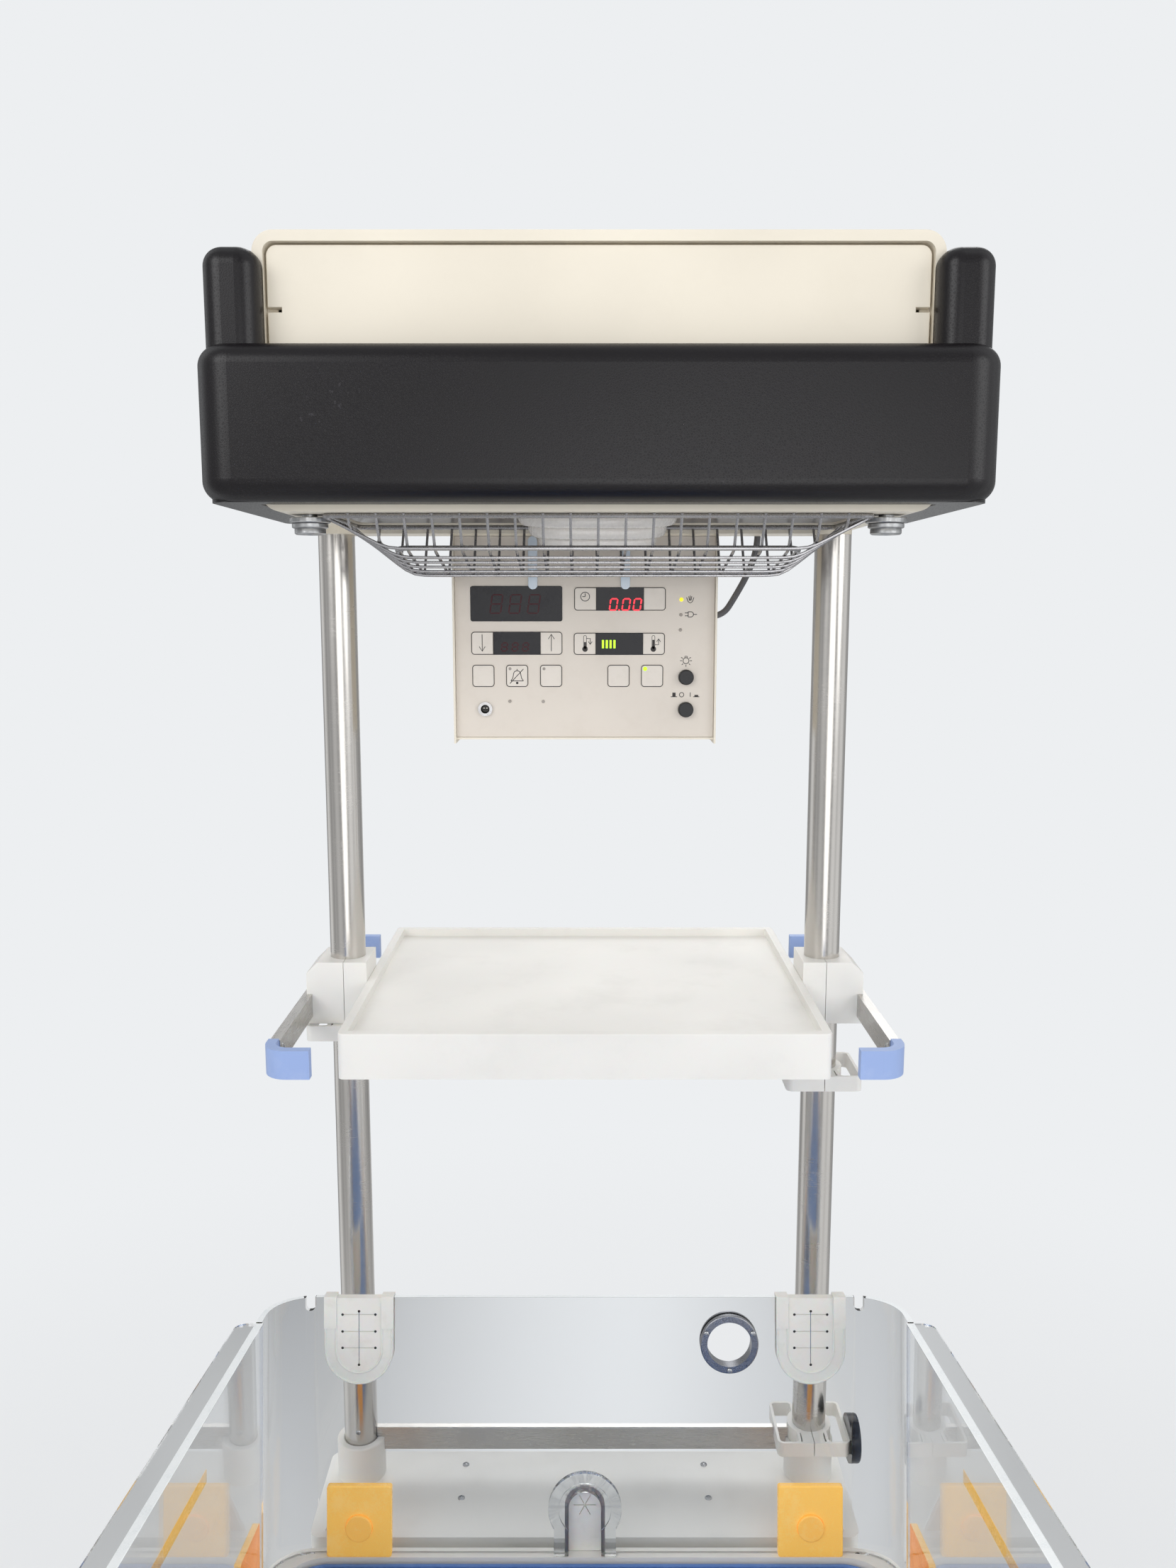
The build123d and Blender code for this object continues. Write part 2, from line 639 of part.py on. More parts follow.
# Stepped clamping knobs under the front corners of the hood
knob_x = 261.0
knob_y = -176.0
knob_radius = 18.5
knob_plate = 5.0
knob_neck = 14.0
knob_drop = 18.0
with BuildPart() as hood_knobs:
    for hand in (-1, 1):
        with BuildSketch(spot(hood, AHEAD, hand * knob_x, knob_y, 0)):
            with BuildLine():
                Polyline(
                    (0, 0), (knob_neck / 2, 0), (knob_neck / 2, -knob_plate / 2),
                    (knob_radius, -knob_plate / 2),
                    (knob_radius, -knob_plate), (knob_radius - knob_plate / 2, -knob_plate),
                    (knob_radius - knob_plate / 2, -2 * knob_plate), (knob_neck, -2 * knob_plate),
                    (knob_neck, -knob_drop), (0, -knob_drop), (0, 0),
                )
            make_face()
        revolve(axis=Axis(spot(hood, UP, hand * knob_x, knob_y, 0).origin, (0, 0, 1)))
pieces["hood_knobs"] = hood_knobs

# Control box under the beam
box_width = 275.0
box_base = 862.0
box_height = column_rise - box_base
box_front = 20.0
box_depth = 96.0
box_wall = 2.0
flange_drop = 4.0
flange_lead = 4.0
front_inset = 1.5
front_wall = 2.0
lip_height = 6.0
box = Plane((0, mast_y - box_front, deck_height + box_base))
with BuildPart() as control_case:
    with BuildSketch(spot(box, AHEAD, 0, box_depth, box_height / 2)):
        Rectangle(box_width, box_height)
    extrude(amount=box_depth)
    with BuildSketch(spot(box, AHEAD, 0, box_depth - box_wall, box_height / 2)):
        Rectangle(box_width - 2 * box_wall, box_height - 2 * box_wall)
    extrude(amount=box_depth, mode=Mode.SUBTRACT)
    with BuildSketch(spot(box, ASIDE, (box_width - box_wall) / 2, 0, 0)):
        with Locations(((box_depth - flange_lead) / 2, (box_height - flange_drop) / 2)):
            Rectangle(box_depth + flange_lead, box_height + flange_drop)
    extrude(amount=box_wall / 2, both=True)
    mirror(about=middle)
pieces["control_case"] = control_case

# The front carries windows, keys, lamps, a socket and two push buttons
window_wall = 0.8
tab_width = 9.6
tab_wall = 2.0
tab_round = 3.0
tab_shares = (-0.1964, 0.1527)
tab_base = 156.5
tab_top = box_height - box_wall - seat_gap
key_wall = 0.6
# Middle, width and height of each window, as shares of the box's width and height
window_shares = (
    (-0.2593, 0.6653, 0.348, 0.1714), (0.1324, 0.6883, 0.1793, 0.1131),
    (-0.2578, 0.4732, 0.1771, 0.1122), (0.1309, 0.4704, 0.1778, 0.108),
)
key_side = 23.2
pair_width = 95.2
pair_key = 22.8
key_row_z = 66.8
key_row_shares = (-0.3869, -0.2582, -0.1287, 0.1284, 0.2564)
pair_shares = ((0.1327, 0.6883, 0.1131), (-0.2585, 0.4732, 0.1122), (0.1309, 0.4704, 0.108))
led_radius = 1.7
led_shares = ((0.3651, 0.6854), (0.364, 0.6113), (0.3625, 0.538), (-0.2865, 0.1883), (-0.1593, 0.1873))
button_radius = 7.8
button_reach = 6.0
button_stem = 12.0
button_x = 106.1
button_shares = (0.3066, 0.1474)
button_z = [share * box_height for share in button_shares]
button_travel = 2.5
socket_x = -104.8
socket_z = 32.0
socket_radius = 7.5
socket_bore_radius = 4.6
socket_rim = 2.0
socket_reach = 2.5
socket_length = 14.0
panel_y = front_inset
with BuildPart() as control_panel:
    with BuildSketch(spot(box, AHEAD, 0, panel_y + front_wall, box_height / 2)):
        Rectangle(box_width - 2 * box_wall - 2 * seat_gap, box_height - 2 * box_wall - 2 * seat_gap)
        with Locations(*[(button_x, z - box_height / 2) for z in button_z]):
            Circle(button_radius + seat_gap, mode=Mode.SUBTRACT)
        with Locations((socket_x, socket_z - box_height / 2)):
            Circle(socket_radius - socket_rim, mode=Mode.SUBTRACT)
    extrude(amount=front_wall)
    lip_y = panel_y + front_wall + lip_height
    with BuildSketch(spot(box, AHEAD, 0, lip_y, box_wall + seat_gap + front_wall / 2)):
        Rectangle(box_width - 2 * box_wall - 2 * seat_gap, front_wall)
    extrude(amount=lip_height)
    for share in key_row_shares:
        with BuildSketch(spot(box, AHEAD, share * box_width, panel_y, key_row_z)):
            RectangleRounded(key_side, key_side, led_radius)
        extrude(amount=key_wall)
    for x, z, height in pair_shares:
        with BuildSketch(spot(box, AHEAD, x * box_width, panel_y, z * box_height)):
            with Locations(*[(hand * (pair_width - pair_key) / 2, 0) for hand in (-1, 1)]):
                RectangleRounded(pair_key, height * box_height, led_radius)
        extrude(amount=key_wall)
pieces["control_panel"] = control_panel

with BuildPart() as control_windows:
    for x, z, width, height in window_shares:
        with BuildSketch(spot(box, AHEAD, x * box_width, panel_y, z * box_height)):
            Rectangle(width * box_width, height * box_height)
        extrude(amount=window_wall)
    for x, z in led_shares:
        with BuildSketch(spot(box, AHEAD, x * box_width, panel_y, z * box_height)):
            Circle(led_radius)
        extrude(amount=window_wall)
    for share in tab_shares:
        with BuildSketch(spot(box, AHEAD, share * box_width, panel_y - window_wall, (tab_top + tab_base) / 2)):
            RectangleRounded(tab_width, tab_top - tab_base, tab_round)
        extrude(amount=tab_wall)
pieces["control_windows"] = control_windows

for name, z in zip(("lamp_button", "power_button"), button_z):
    with BuildPart() as button:
        with BuildSketch(spot(box, AHEAD, button_x, panel_y + button_stem, z)):
            Circle(button_radius)
        extrude(amount=button_stem + button_reach)
        fillet(button.faces().sort_by(Axis.Y)[0].edges(), radius=window_wall)
    pieces[name] = button

with BuildPart() as sensor_socket:
    with BuildSketch(spot(box, AHEAD, socket_x, panel_y, socket_z)):
        Circle(socket_radius)
        Circle(socket_bore_radius, mode=Mode.SUBTRACT)
    extrude(amount=socket_reach)
    with BuildSketch(spot(box, AHEAD, socket_x, panel_y + socket_length, socket_z)):
        Circle(socket_radius - socket_rim - seat_gap)
    extrude(amount=socket_length)
    with BuildSketch(spot(box, AHEAD, socket_x, panel_y + socket_length - socket_rim, socket_z)):
        Circle(socket_bore_radius)
    extrude(amount=socket_length + socket_reach, mode=Mode.SUBTRACT)
pieces["sensor_socket"] = sensor_socket

board_wall = 1.6
board_gap = 24.0
board_margin = 12.0
coil_side = 60.0
coil_height = 52.0
with BuildPart() as control_electronics:
    with BuildSketch(spot(box, AHEAD, 0, panel_y + front_wall + board_gap, box_height / 2)):
        Rectangle(box_width - 2 * board_margin, box_height - 2 * board_margin)
    extrude(amount=board_wall)
    with BuildSketch(spot(box, AHEAD, 0, panel_y + front_wall + board_gap + board_margin, box_height / 2)):
        with GridLocations(box_width - 3 * board_margin, box_height - 3 * board_margin, 2, 2):
            Circle(led_radius + button_travel)
    extrude(amount=-(box_depth - box_wall - panel_y - front_wall - board_gap - board_margin))
    with BuildSketch(spot(box, AHEAD, 0, panel_y + front_wall + board_gap + board_margin, box_height / 2)):
        with GridLocations(box_width - 3 * board_margin, box_height - 3 * board_margin, 2, 2):
            Circle(led_radius + button_travel)
    extrude(amount=board_margin)
    with BuildSketch(spot(box, UP, 0, box_depth / 2 + board_margin, box_wall)):
        Rectangle(coil_side, coil_side - board_margin)
    extrude(amount=coil_height)
pieces["control_electronics"] = control_electronics

# Cable from the hood down to the back of the control box
cable_radius = 3.5
cable_route = (
    (186.0, 36.0, 1083.0), (186.0, 36.0, 1064.0), (178.0, 42.0, 1038.0),
    (165.0, 52.0, 1012.0), (152.0, 60.0, 990.0), (137.5, 60.0, 990.0),
)
bend_share = 0.45
cable_points = [spot(deck, UP, x, y, z).origin for x, y, z in cable_route]
cable_radii = []
for before, here, after in zip(cable_points, cable_points[1:], cable_points[2:]):
    turn = radians((here - before).get_angle(after - here))
    run = min((here - before).length, (after - here).length)
    cable_radii.append(bend_share * run * cos(turn / 2) / sin(turn / 2))
print("cable radii", [round(value, 1) for value in cable_radii])
with BuildPart() as hood_cable:
    with BuildLine() as cable_line:
        FilletPolyline(*cable_points, radius=cable_radii)
    with BuildSketch(Plane(origin=cable_line.line @ 0, z_dir=cable_line.line % 0)):
        Circle(cable_radius)
    sweep(transition=Transition.TRANSFORMED)
pieces["hood_cable"] = hood_cable

# Shelf tray between the columns, with its clamps and side rails
tray_width = 470.0
tray_depth = 392.0
tray_height = 45.0
tray_wall = 4.0
tray_rim = 9.0
tray_floor_share = 0.8
tray_corner = 6.0
tray_base = 556.0
tray_floor = tray_height * tray_floor_share
with BuildPart() as tray:
    with BuildSketch(spot(deck, UP, 0, 0, tray_base)):
        RectangleRounded(tray_width, tray_depth, tray_corner)
    extrude(amount=tray_height)
    fillet(tray.edges().group_by(Axis.Z)[-1], radius=tray_wall / 4)
    with BuildSketch(spot(deck, UP, 0, 0, tray_base + tray_height)):
        RectangleRounded(tray_width - 2 * tray_rim, tray_depth - 2 * tray_rim, tray_corner - tray_wall)
    extrude(amount=-(tray_height - tray_floor), mode=Mode.SUBTRACT)
    with BuildSketch(spot(deck, UP, 0, 0, tray_base)):
        RectangleRounded(tray_width - 2 * tray_wall, tray_depth - 2 * tray_wall, tray_corner - tray_wall)
    extrude(amount=tray_floor - tray_wall, mode=Mode.SUBTRACT)
pieces["tray"] = tray

# Plan of the split cable clips: a ring on a column, with a closed loop on each side
clip_ring = 25.0
clip_height = 17.0
clip_band = 3.0
clip_reach = 39.0
clip_back = 36.0
clip_tongue = 25.0
clip_gap = 0.8
clip_corner = 7.0
loop_half = 41.0
loop_inner = 14.0
loop_width = loop_half - loop_inner
loop_depth = clip_reach + clip_back
loop_places = [(hand * (loop_half + loop_inner) / 2, (clip_back - clip_reach) / 2) for hand in (-1, 1)]
with BuildSketch() as clip_plan:
    with Locations(*loop_places):
        RectangleRounded(loop_width, loop_depth, clip_corner)
        RectangleRounded(
            loop_width - 2 * clip_band, loop_depth - 2 * clip_band, clip_corner - clip_band, mode=Mode.SUBTRACT
        )
    with Locations((0, -clip_reach + clip_band / 2)):
        Rectangle(loop_half + loop_inner, clip_band)
    with Locations((0, -clip_reach / 2)):
        Rectangle(clip_tongue, clip_reach)
    Circle(clip_ring)
    Circle(column_radius + run_gap, mode=Mode.SUBTRACT)
    with Locations((0, -clip_reach / 2)):
        Rectangle(clip_gap, clip_reach, mode=Mode.SUBTRACT)

# Clamps of the side rails on the columns, with a third clip below the left one
clamp_height = 68.0
clamp_base = 554.0
clamp_inner = tray_width / 2
clamp_outer = 300.0
clamp_depth = 62.0
clamp_chamfer = 12.0
clamp_gap = 0.6
clamp_grip = run_gap
rail_thick = 10.0
rail_tall = 25.0
rail_outer = 304.0
rail_seat = 8.0
rail_base = clamp_base + rail_seat
slot_depth = clamp_outer - rail_outer + rail_thick
with BuildPart() as rail_clamps:
    with BuildSketch(spot(deck, AHEAD, 0, clamp_depth / 2, clamp_base)):
        with BuildLine():
            Polyline(
                (clamp_inner, 0), (clamp_outer, 0), (clamp_outer, clamp_height - clamp_chamfer),
                (clamp_outer - clamp_chamfer, clamp_height), (clamp_inner, clamp_height), (clamp_inner, 0),
            )
        make_face()
    extrude(amount=clamp_depth)
    with BuildSketch(spot(deck, UP, column_x, 0, clamp_base)):
        Circle(column_radius + clamp_grip)
    extrude(amount=clamp_height, mode=Mode.SUBTRACT)
    with BuildSketch(spot(deck, ASIDE, clamp_outer, 0, rail_base + rail_tall / 2)):
        Rectangle(clamp_depth, rail_tall)
    extrude(amount=-slot_depth, mode=Mode.SUBTRACT)
    with BuildSketch(spot(deck, UP, column_x, 0, clamp_base)):
        Rectangle(clamp_gap, 2 * clamp_depth)
    extrude(amount=clamp_height, mode=Mode.SUBTRACT)
    mirror(about=middle)
    with BuildSketch(spot(deck, UP, -column_x, 0, clamp_base - seat_gap)):
        add(clip_plan.sketch)
    extrude(amount=-clip_height)
pieces["rail_clamps"] = rail_clamps

with BuildPart() as side_rails:
    with BuildSketch(spot(deck, ASIDE, rail_outer, 0, rail_base + rail_tall / 2)):
        Rectangle(rail_length, rail_tall)
    extrude(amount=-rail_thick)
    mirror(about=middle)
pieces["side_rails"] = side_rails

cap_height = 28.0
cap_reach = 46.0
cap_proud = 1.0
cap_base = rail_base + (rail_tall - cap_height) / 2
with BuildPart() as rail_caps:
    with BuildSketch(spot(deck, UP, rail_outer - rail_thick / 2, -rail_length / 2, cap_base)):
        with BuildLine():
            outer = rail_thick / 2 + cap_proud
            inner = outer - cap_wall
            Line((outer, 0), (outer, -cap_wall))
            RadiusArc((outer, -cap_wall), (outer - cap_turn, -cap_wall - cap_turn), cap_turn)
            Line((outer - cap_turn, -cap_wall - cap_turn), (outer - cap_reach, -cap_wall - cap_turn))
            Line((outer - cap_reach, -cap_wall - cap_turn), (outer - cap_reach, -cap_turn))
            Line((outer - cap_reach, -cap_turn), (outer - cap_turn, -cap_turn))
            RadiusArc((outer - cap_turn, -cap_turn), (inner, -cap_wall), cap_wall - cap_turn)
            Line((inner, -cap_wall), (inner, 0))
            Line((inner, 0), (outer, 0))
        make_face()
    extrude(amount=cap_height)
    mirror(about=Plane.XZ.offset(-mast_y))
    mirror(about=middle)
pieces["rail_caps"] = rail_caps

clip_drop = 74.0
upper_clip_rise = clamp_base - clip_drop
lower_clip_rise = socket_height + seat_gap
with BuildPart() as cable_clips:
    for rise in (upper_clip_rise, lower_clip_rise):
        with BuildSketch(spot(deck, UP, column_x, 0, rise)):
            add(clip_plan.sketch)
        extrude(amount=clip_height)
    with BuildSketch(spot(deck, UP, 0, 0, bar_rise)):
        Rectangle(column_spacing, bar_depth + 2 * seat_gap)
    extrude(amount=bar_height + seat_gap, mode=Mode.SUBTRACT)
pieces["cable_clips"] = cable_clips

clip_knob_radius = 26.0
clip_knob_wall = 12.0
clip_knob_round = 3.0
clip_knob_rise = 56.0
with BuildPart() as clip_knob:
    with BuildSketch(spot(deck, ASIDE, column_x + loop_half, -clip_reach / 2, clip_knob_rise)):
        Circle(clip_knob_radius)
    extrude(amount=clip_knob_wall)
    fillet(clip_knob.faces().sort_by(Axis.X)[-1].edges(), radius=clip_knob_round)
pieces["clip_knob"] = clip_knob

# Faces of the bed walls that carry latches: each looks outwards, with x along the wall and y up
back_half = bed_half_width + panel_wall / 2
side_length = bed_length - corner_reach - 2 * panel_gap
side_middle = -(bed_length + corner_reach) / 2
latch_x = 240.0
latch_inset = 41.0
walls = {
    "back": (spot(bed, AHEAD, 0, 0, 0), latch_x),
    "right": (spot(bed, ASIDE, back_half, side_middle, 0), side_length / 2 - latch_inset),
    "front": (spot(bed, AHEAD, 0, -bed_length - panel_wall, 0), latch_x),
}
hinged = {"right": side_length, "front": 2 * bed_half_width}
knuckle_length = 44.0
hinge_lug = 8.0
lug_drop = 9.0
lug_middle = (knuckle_length + hinge_lug) / 2 + seat_gap

# Bed tub on the tilting shaft, with hinge lugs and pins for the panels that fold down
tub_half = back_half + rim_margin
tub_front = -(bed_length + panel_wall + rim_margin)
tub_length = tub_back - tub_front
tub_middle = (tub_back + tub_front) / 2
tub_corner = 14.0
mattress_half = 312.0
mattress_depth = 52.0
mattress_corner = 40.0
mattress_gap = 1.0
mattress_inset = 8.0
mattress_length = bed_length - 2 * mattress_inset
tub_floor = -rim_drop - mattress_depth
tub_hollow = tub_depth + tub_floor - tub_wall
lug_height = pivot_drop - tub_depth + tub_hollow
bed_up = Axis((0, 0, 0), bed.z_dir)
with BuildPart() as bed_tub:
    with BuildSketch(spot(bed, UP, 0, tub_middle, -tub_depth)):
        Rectangle(2 * tub_half, tub_length)
        fillet(vertices().group_by(Axis.Y)[-1], radius=corner_radius + rim_margin)
        fillet(vertices().group_by(Axis.Y)[0], radius=tub_corner)
    extrude(amount=tub_depth - rim_drop)
    fillet(bed_tub.faces().sort_by(bed_up)[0].edges(), radius=tub_corner / 2)
    for z, height in ((tub_floor, mattress_depth), (-tub_depth, tub_hollow)):
        with BuildSketch(spot(bed, UP, 0, -bed_length / 2, z)):
            RectangleRounded(
                2 * (mattress_half + mattress_gap), mattress_length + 2 * mattress_gap,
                mattress_corner + mattress_gap,
            )
        extrude(amount=height, mode=Mode.SUBTRACT)
    for hand in (-1, 1):
        with BuildSketch(spot(bed, ASIDE, hand * lug_x, pivot_y, -pivot_drop)):
            Circle(lug_radius)
            with Locations((0, lug_height / 2)):
                Rectangle(2 * lug_radius, lug_height)
            Circle(shaft_radius + run_gap, mode=Mode.SUBTRACT)
        extrude(amount=lug_wall / 2, both=True)
    for name in hinged:
        face, offset = walls[name]
        for place in (-offset, offset):
            for end in (-lug_middle, lug_middle):
                with BuildSketch(spot(face, ASIDE, place + end, 0, 0)):
                    with BuildLine():
                        Polyline(
                            (-hinge_drop - lug_drop, rim_margin - tub_wall),
                            (-hinge_drop - lug_drop, rim_margin),
                            (-hinge_drop - hinge_pin_radius, hinge_out + hinge_pin_radius),
                            (hinge_pin_radius - hinge_drop, hinge_out),
                            (hinge_pin_radius - hinge_drop, rim_margin - tub_wall),
                            (-hinge_drop - lug_drop, rim_margin - tub_wall),
                        )
                    make_face()
                    with Locations((-hinge_drop, hinge_out)):
                        Circle(knuckle_radius - seat_gap)
                extrude(amount=hinge_lug / 2, both=True)
            with BuildSketch(spot(face, ASIDE, place, -hinge_drop, hinge_out)):
                Circle(hinge_pin_radius)
            extrude(amount=lug_middle, both=True)
    mirror(about=middle)
pieces["bed_tub"] = bed_tub

# Padded mattress: how far its edge is drawn in at each height, as shares of its thickness
mattress_thick = 57.0
mattress_shares = ((0.0, 0.07), (0.421, 0.0), (0.8246, 0.0263), (0.9386, 0.2456), (1.0, 1.0526))
with BuildPart() as mattress:
    for height, inset in mattress_shares:
        with BuildSketch(spot(bed, UP, 0, -bed_length / 2, tub_floor + height * mattress_thick)):
            draw = inset * mattress_thick
            RectangleRounded(2 * (mattress_half - draw), mattress_length - 2 * draw, mattress_corner)
    loft(ruled=True)
pieces["mattress"] = mattress

# Clear back panel with turned-in ends, notches, two tube ports and a round port
notch_x = 293.0
notch_width = 10.0
notch_depth = 14.0
notch_round = 4.5
round_port_x = 154.0
round_port_drop = 48.5
round_port_sleeve = 25.0
tube_port_x = 241.0
tube_port_radius = 37.0
tube_port_height = 92.0
tube_notch_radius = 31.0
tube_port_z = panel_rise - tube_port_height + tube_port_radius
holder_z = 49.0
holder_hole = 17.5
ring_depth = back_wall + corner_reach
with BuildPart() as panel_back:
    with BuildSketch(spot(bed, UP, 0, -corner_reach, -rim_drop)):
        RectangleRounded(2 * back_half, 2 * ring_depth, corner_radius)
        RectangleRounded(
            2 * (back_half - back_wall), 2 * corner_reach, corner_radius - back_wall, mode=Mode.SUBTRACT
        )
        with Locations((0, -ring_depth / 2)):
            Rectangle(2 * back_half, ring_depth, mode=Mode.SUBTRACT)
    extrude(amount=panel_rise + rim_drop)
    with BuildSketch(spot(bed, AHEAD, 0, back_wall, 0)):
        with Locations((-notch_x, panel_rise), (notch_x, panel_rise)):
            RectangleRounded(notch_width, 2 * notch_depth, notch_round)
        with Locations((round_port_x, panel_rise - round_port_drop)):
            Circle(round_port_sleeve)
        with Locations((-tube_port_x, tube_port_z), (tube_port_x, tube_port_z)):
            Circle(tube_notch_radius)
            with Locations((0, tube_port_radius)):
                Rectangle(2 * tube_notch_radius, 2 * tube_port_radius)
        with Locations((0, holder_z)):
            Circle(holder_hole)
            with Locations((0, -holder_z / 2 - rim_drop)):
                Rectangle(2 * holder_hole, holder_z)
    extrude(amount=2 * corner_reach, mode=Mode.SUBTRACT)
pieces["panel_back"] = panel_back

# Round metal port with three screws
round_port_radius = 31.0
round_port_bore = 23.6
round_port_face = 5.0
round_port_nut = 3.0
port_screw_radius = 2.6
port_screw_circle = 27.5
port_screw_head = 1.2
port_screw_angles = (26.0, 154.0, 270.0)
with BuildPart() as round_port:
    with BuildSketch(spot(bed, AHEAD, round_port_x, 0, panel_rise - round_port_drop)):
        Circle(round_port_radius)
    extrude(amount=round_port_face)
    fillet(round_port.faces().sort_by(Axis((0, 0, 0), bed.y_dir))[0].edges(), radius=port_screw_head)
    with BuildSketch(spot(bed, AHEAD, round_port_x, 0, panel_rise - round_port_drop)):
        Circle(round_port_sleeve - seat_gap)
    extrude(amount=-back_wall - round_port_nut)
    with BuildSketch(spot(bed, AHEAD, round_port_x, back_wall, panel_rise - round_port_drop)):
        Circle(round_port_radius)
    extrude(amount=-round_port_nut)
    for angle in port_screw_angles:
        x = round_port_x + port_screw_circle * cos(radians(angle))
        z = panel_rise - round_port_drop + port_screw_circle * sin(radians(angle))
        with BuildSketch(spot(bed, AHEAD, x, -round_port_face, z)):
            Circle(port_screw_radius)
        extrude(amount=port_screw_head)
    with BuildSketch(spot(bed, AHEAD, round_port_x, -round_port_face, panel_rise - round_port_drop)):
        Circle(round_port_bore)
    extrude(amount=-round_port_face - back_wall - round_port_nut, mode=Mode.SUBTRACT)
pieces["round_port"] = round_port

# Silicone tube ports in the back panel, slit so that a tube can pass, and the star behind the holder
silicone_wall = 2.0
port_rim = 4.0
slit_width = 1.0
slit_length = 35.0
slit_shares = (0.19, 0.386, 0.576)
slit_top = 14.0
slit_bottom = 71.0
shoulder_width = 13.0
shoulder_height = 32.0
star_slit = 24.0
star_slits = 3
with BuildPart() as tube_ports:
    for hand in (-1, 1):
        layers = (
            (-silicone_wall, silicone_wall, tube_port_radius), (0, back_wall, tube_notch_radius - seat_gap),
            (back_wall, silicone_wall, tube_port_radius),
        )
        for y, wall, radius in layers:
            with BuildSketch(spot(bed, AHEAD, hand * tube_port_x, y + wall, tube_port_z)):
                Circle(radius)
                with Locations((0, (panel_rise - tube_port_z) / 2)):
                    Rectangle(2 * radius, panel_rise - tube_port_z)
            extrude(amount=wall)
        for side in (-1, 1):
            x = hand * tube_port_x + side * (tube_port_radius - shoulder_width / 2)
            for y in (back_wall + 2 * silicone_wall, -silicone_wall):
                with BuildSketch(spot(bed, AHEAD, x, y, panel_rise - shoulder_height / 2)):
                    Rectangle(shoulder_width, shoulder_height)
                extrude(amount=silicone_wall)
            with BuildSketch(spot(bed, UP, x, back_wall / 2, panel_rise)):
                Rectangle(shoulder_width, back_wall + 4 * silicone_wall)
            extrude(amount=silicone_wall)
        with BuildSketch(spot(bed, AHEAD, hand * tube_port_x, back_wall + silicone_wall, tube_port_z)):
            Circle(tube_notch_radius - port_rim)
            with Locations((0, (panel_rise - tube_port_z - port_rim) / 2)):
                Rectangle(2 * (tube_notch_radius - port_rim), panel_rise - tube_port_z - port_rim)
        extrude(amount=back_wall + silicone_wall, mode=Mode.SUBTRACT)
        with BuildSketch(spot(bed, AHEAD, hand * tube_port_x, 0, panel_rise)):
            with Locations(*[(0, -share * tube_port_height) for share in slit_shares]):
                SlotOverall(slit_length, slit_width)
            with Locations((0, -(slit_top + slit_bottom) / 2)):
                SlotOverall(slit_bottom - slit_top, slit_width, rotation=90)
        extrude(amount=silicone_wall, mode=Mode.SUBTRACT)
    with BuildSketch(spot(bed, AHEAD, 0, back_wall + silicone_wall, holder_z)):
        Circle(holder_hole + port_rim)
        with Locations((0, -holder_z / 2)):
            Rectangle(2 * (holder_hole + port_rim), holder_z)
    extrude(amount=silicone_wall)
    with BuildSketch(spot(bed, AHEAD, 0, back_wall, holder_z)):
        Circle(holder_hole - seat_gap)
        with Locations((0, -holder_z / 2)):
            Rectangle(2 * (holder_hole - seat_gap), holder_z)
    extrude(amount=silicone_wall)
    with BuildSketch(spot(bed, AHEAD, 0, back_wall + silicone_wall, holder_z)):
        with PolarLocations(0, star_slits, angular_range=180):
            SlotOverall(star_slit, slit_width)
    extrude(amount=2 * silicone_wall, mode=Mode.SUBTRACT)
pieces["tube_ports"] = tube_ports

# Clear horseshoe that holds tubes at the foot of the back panel
holder_radius = 39.0
holder_leg = 33.0
holder_wall = 6.0
holder_step_radius = 28.0
holder_step = 2.5
with BuildPart() as tube_holder:
    with BuildSketch(spot(bed, AHEAD, 0, 0, holder_z)):
        Circle(holder_radius)
        with Locations((0, -holder_z / 2)):
            Rectangle(2 * holder_leg, holder_z)
        Circle(holder_hole, mode=Mode.SUBTRACT)
        with Locations((0, -holder_z / 2)):
            Rectangle(2 * holder_hole, holder_z, mode=Mode.SUBTRACT)
    extrude(amount=holder_wall)
    with BuildSketch(spot(bed, AHEAD, 0, -holder_wall, holder_z)):
        Circle(holder_step_radius)
    extrude(amount=-holder_step, mode=Mode.SUBTRACT)
pieces["tube_holder"] = tube_holder

# Side and front panels with a flange along the top, each with two latches and their buttons
panel_lift = 0.5
flange_corner = 12.0
latch_width = 69.0
latch_rise = 75.0
latch_wall = 7.0
latch_lip = 2.0
latch_round = 3.0
latch_knee = 12.0
latch_button_z = 31.0
latch_button_radius = 14.2
button_shoulder = 1.5
button_seat = 3.2
button_flange = 1.6
button_proud = 3.0
for name, length in hinged.items():
    face, offset = walls[name]
    outwards = Axis((0, 0, 0), face.z_dir)
    with BuildPart() as panel:
        with BuildSketch(spot(face, UP, 0, (panel_rise + panel_lift) / 2, 0)):
            Rectangle(length, panel_rise - panel_lift)
        extrude(amount=-panel_wall)
        with BuildSketch(spot(face, AHEAD, 0, panel_rise, panel_flange / 2)):
            Rectangle(length, panel_flange)
        extrude(amount=flange_depth)
        fillet(panel.edges().filter_by(bed_up).group_by(outwards)[-1], radius=flange_corner)
    pieces["panel_" + name] = panel

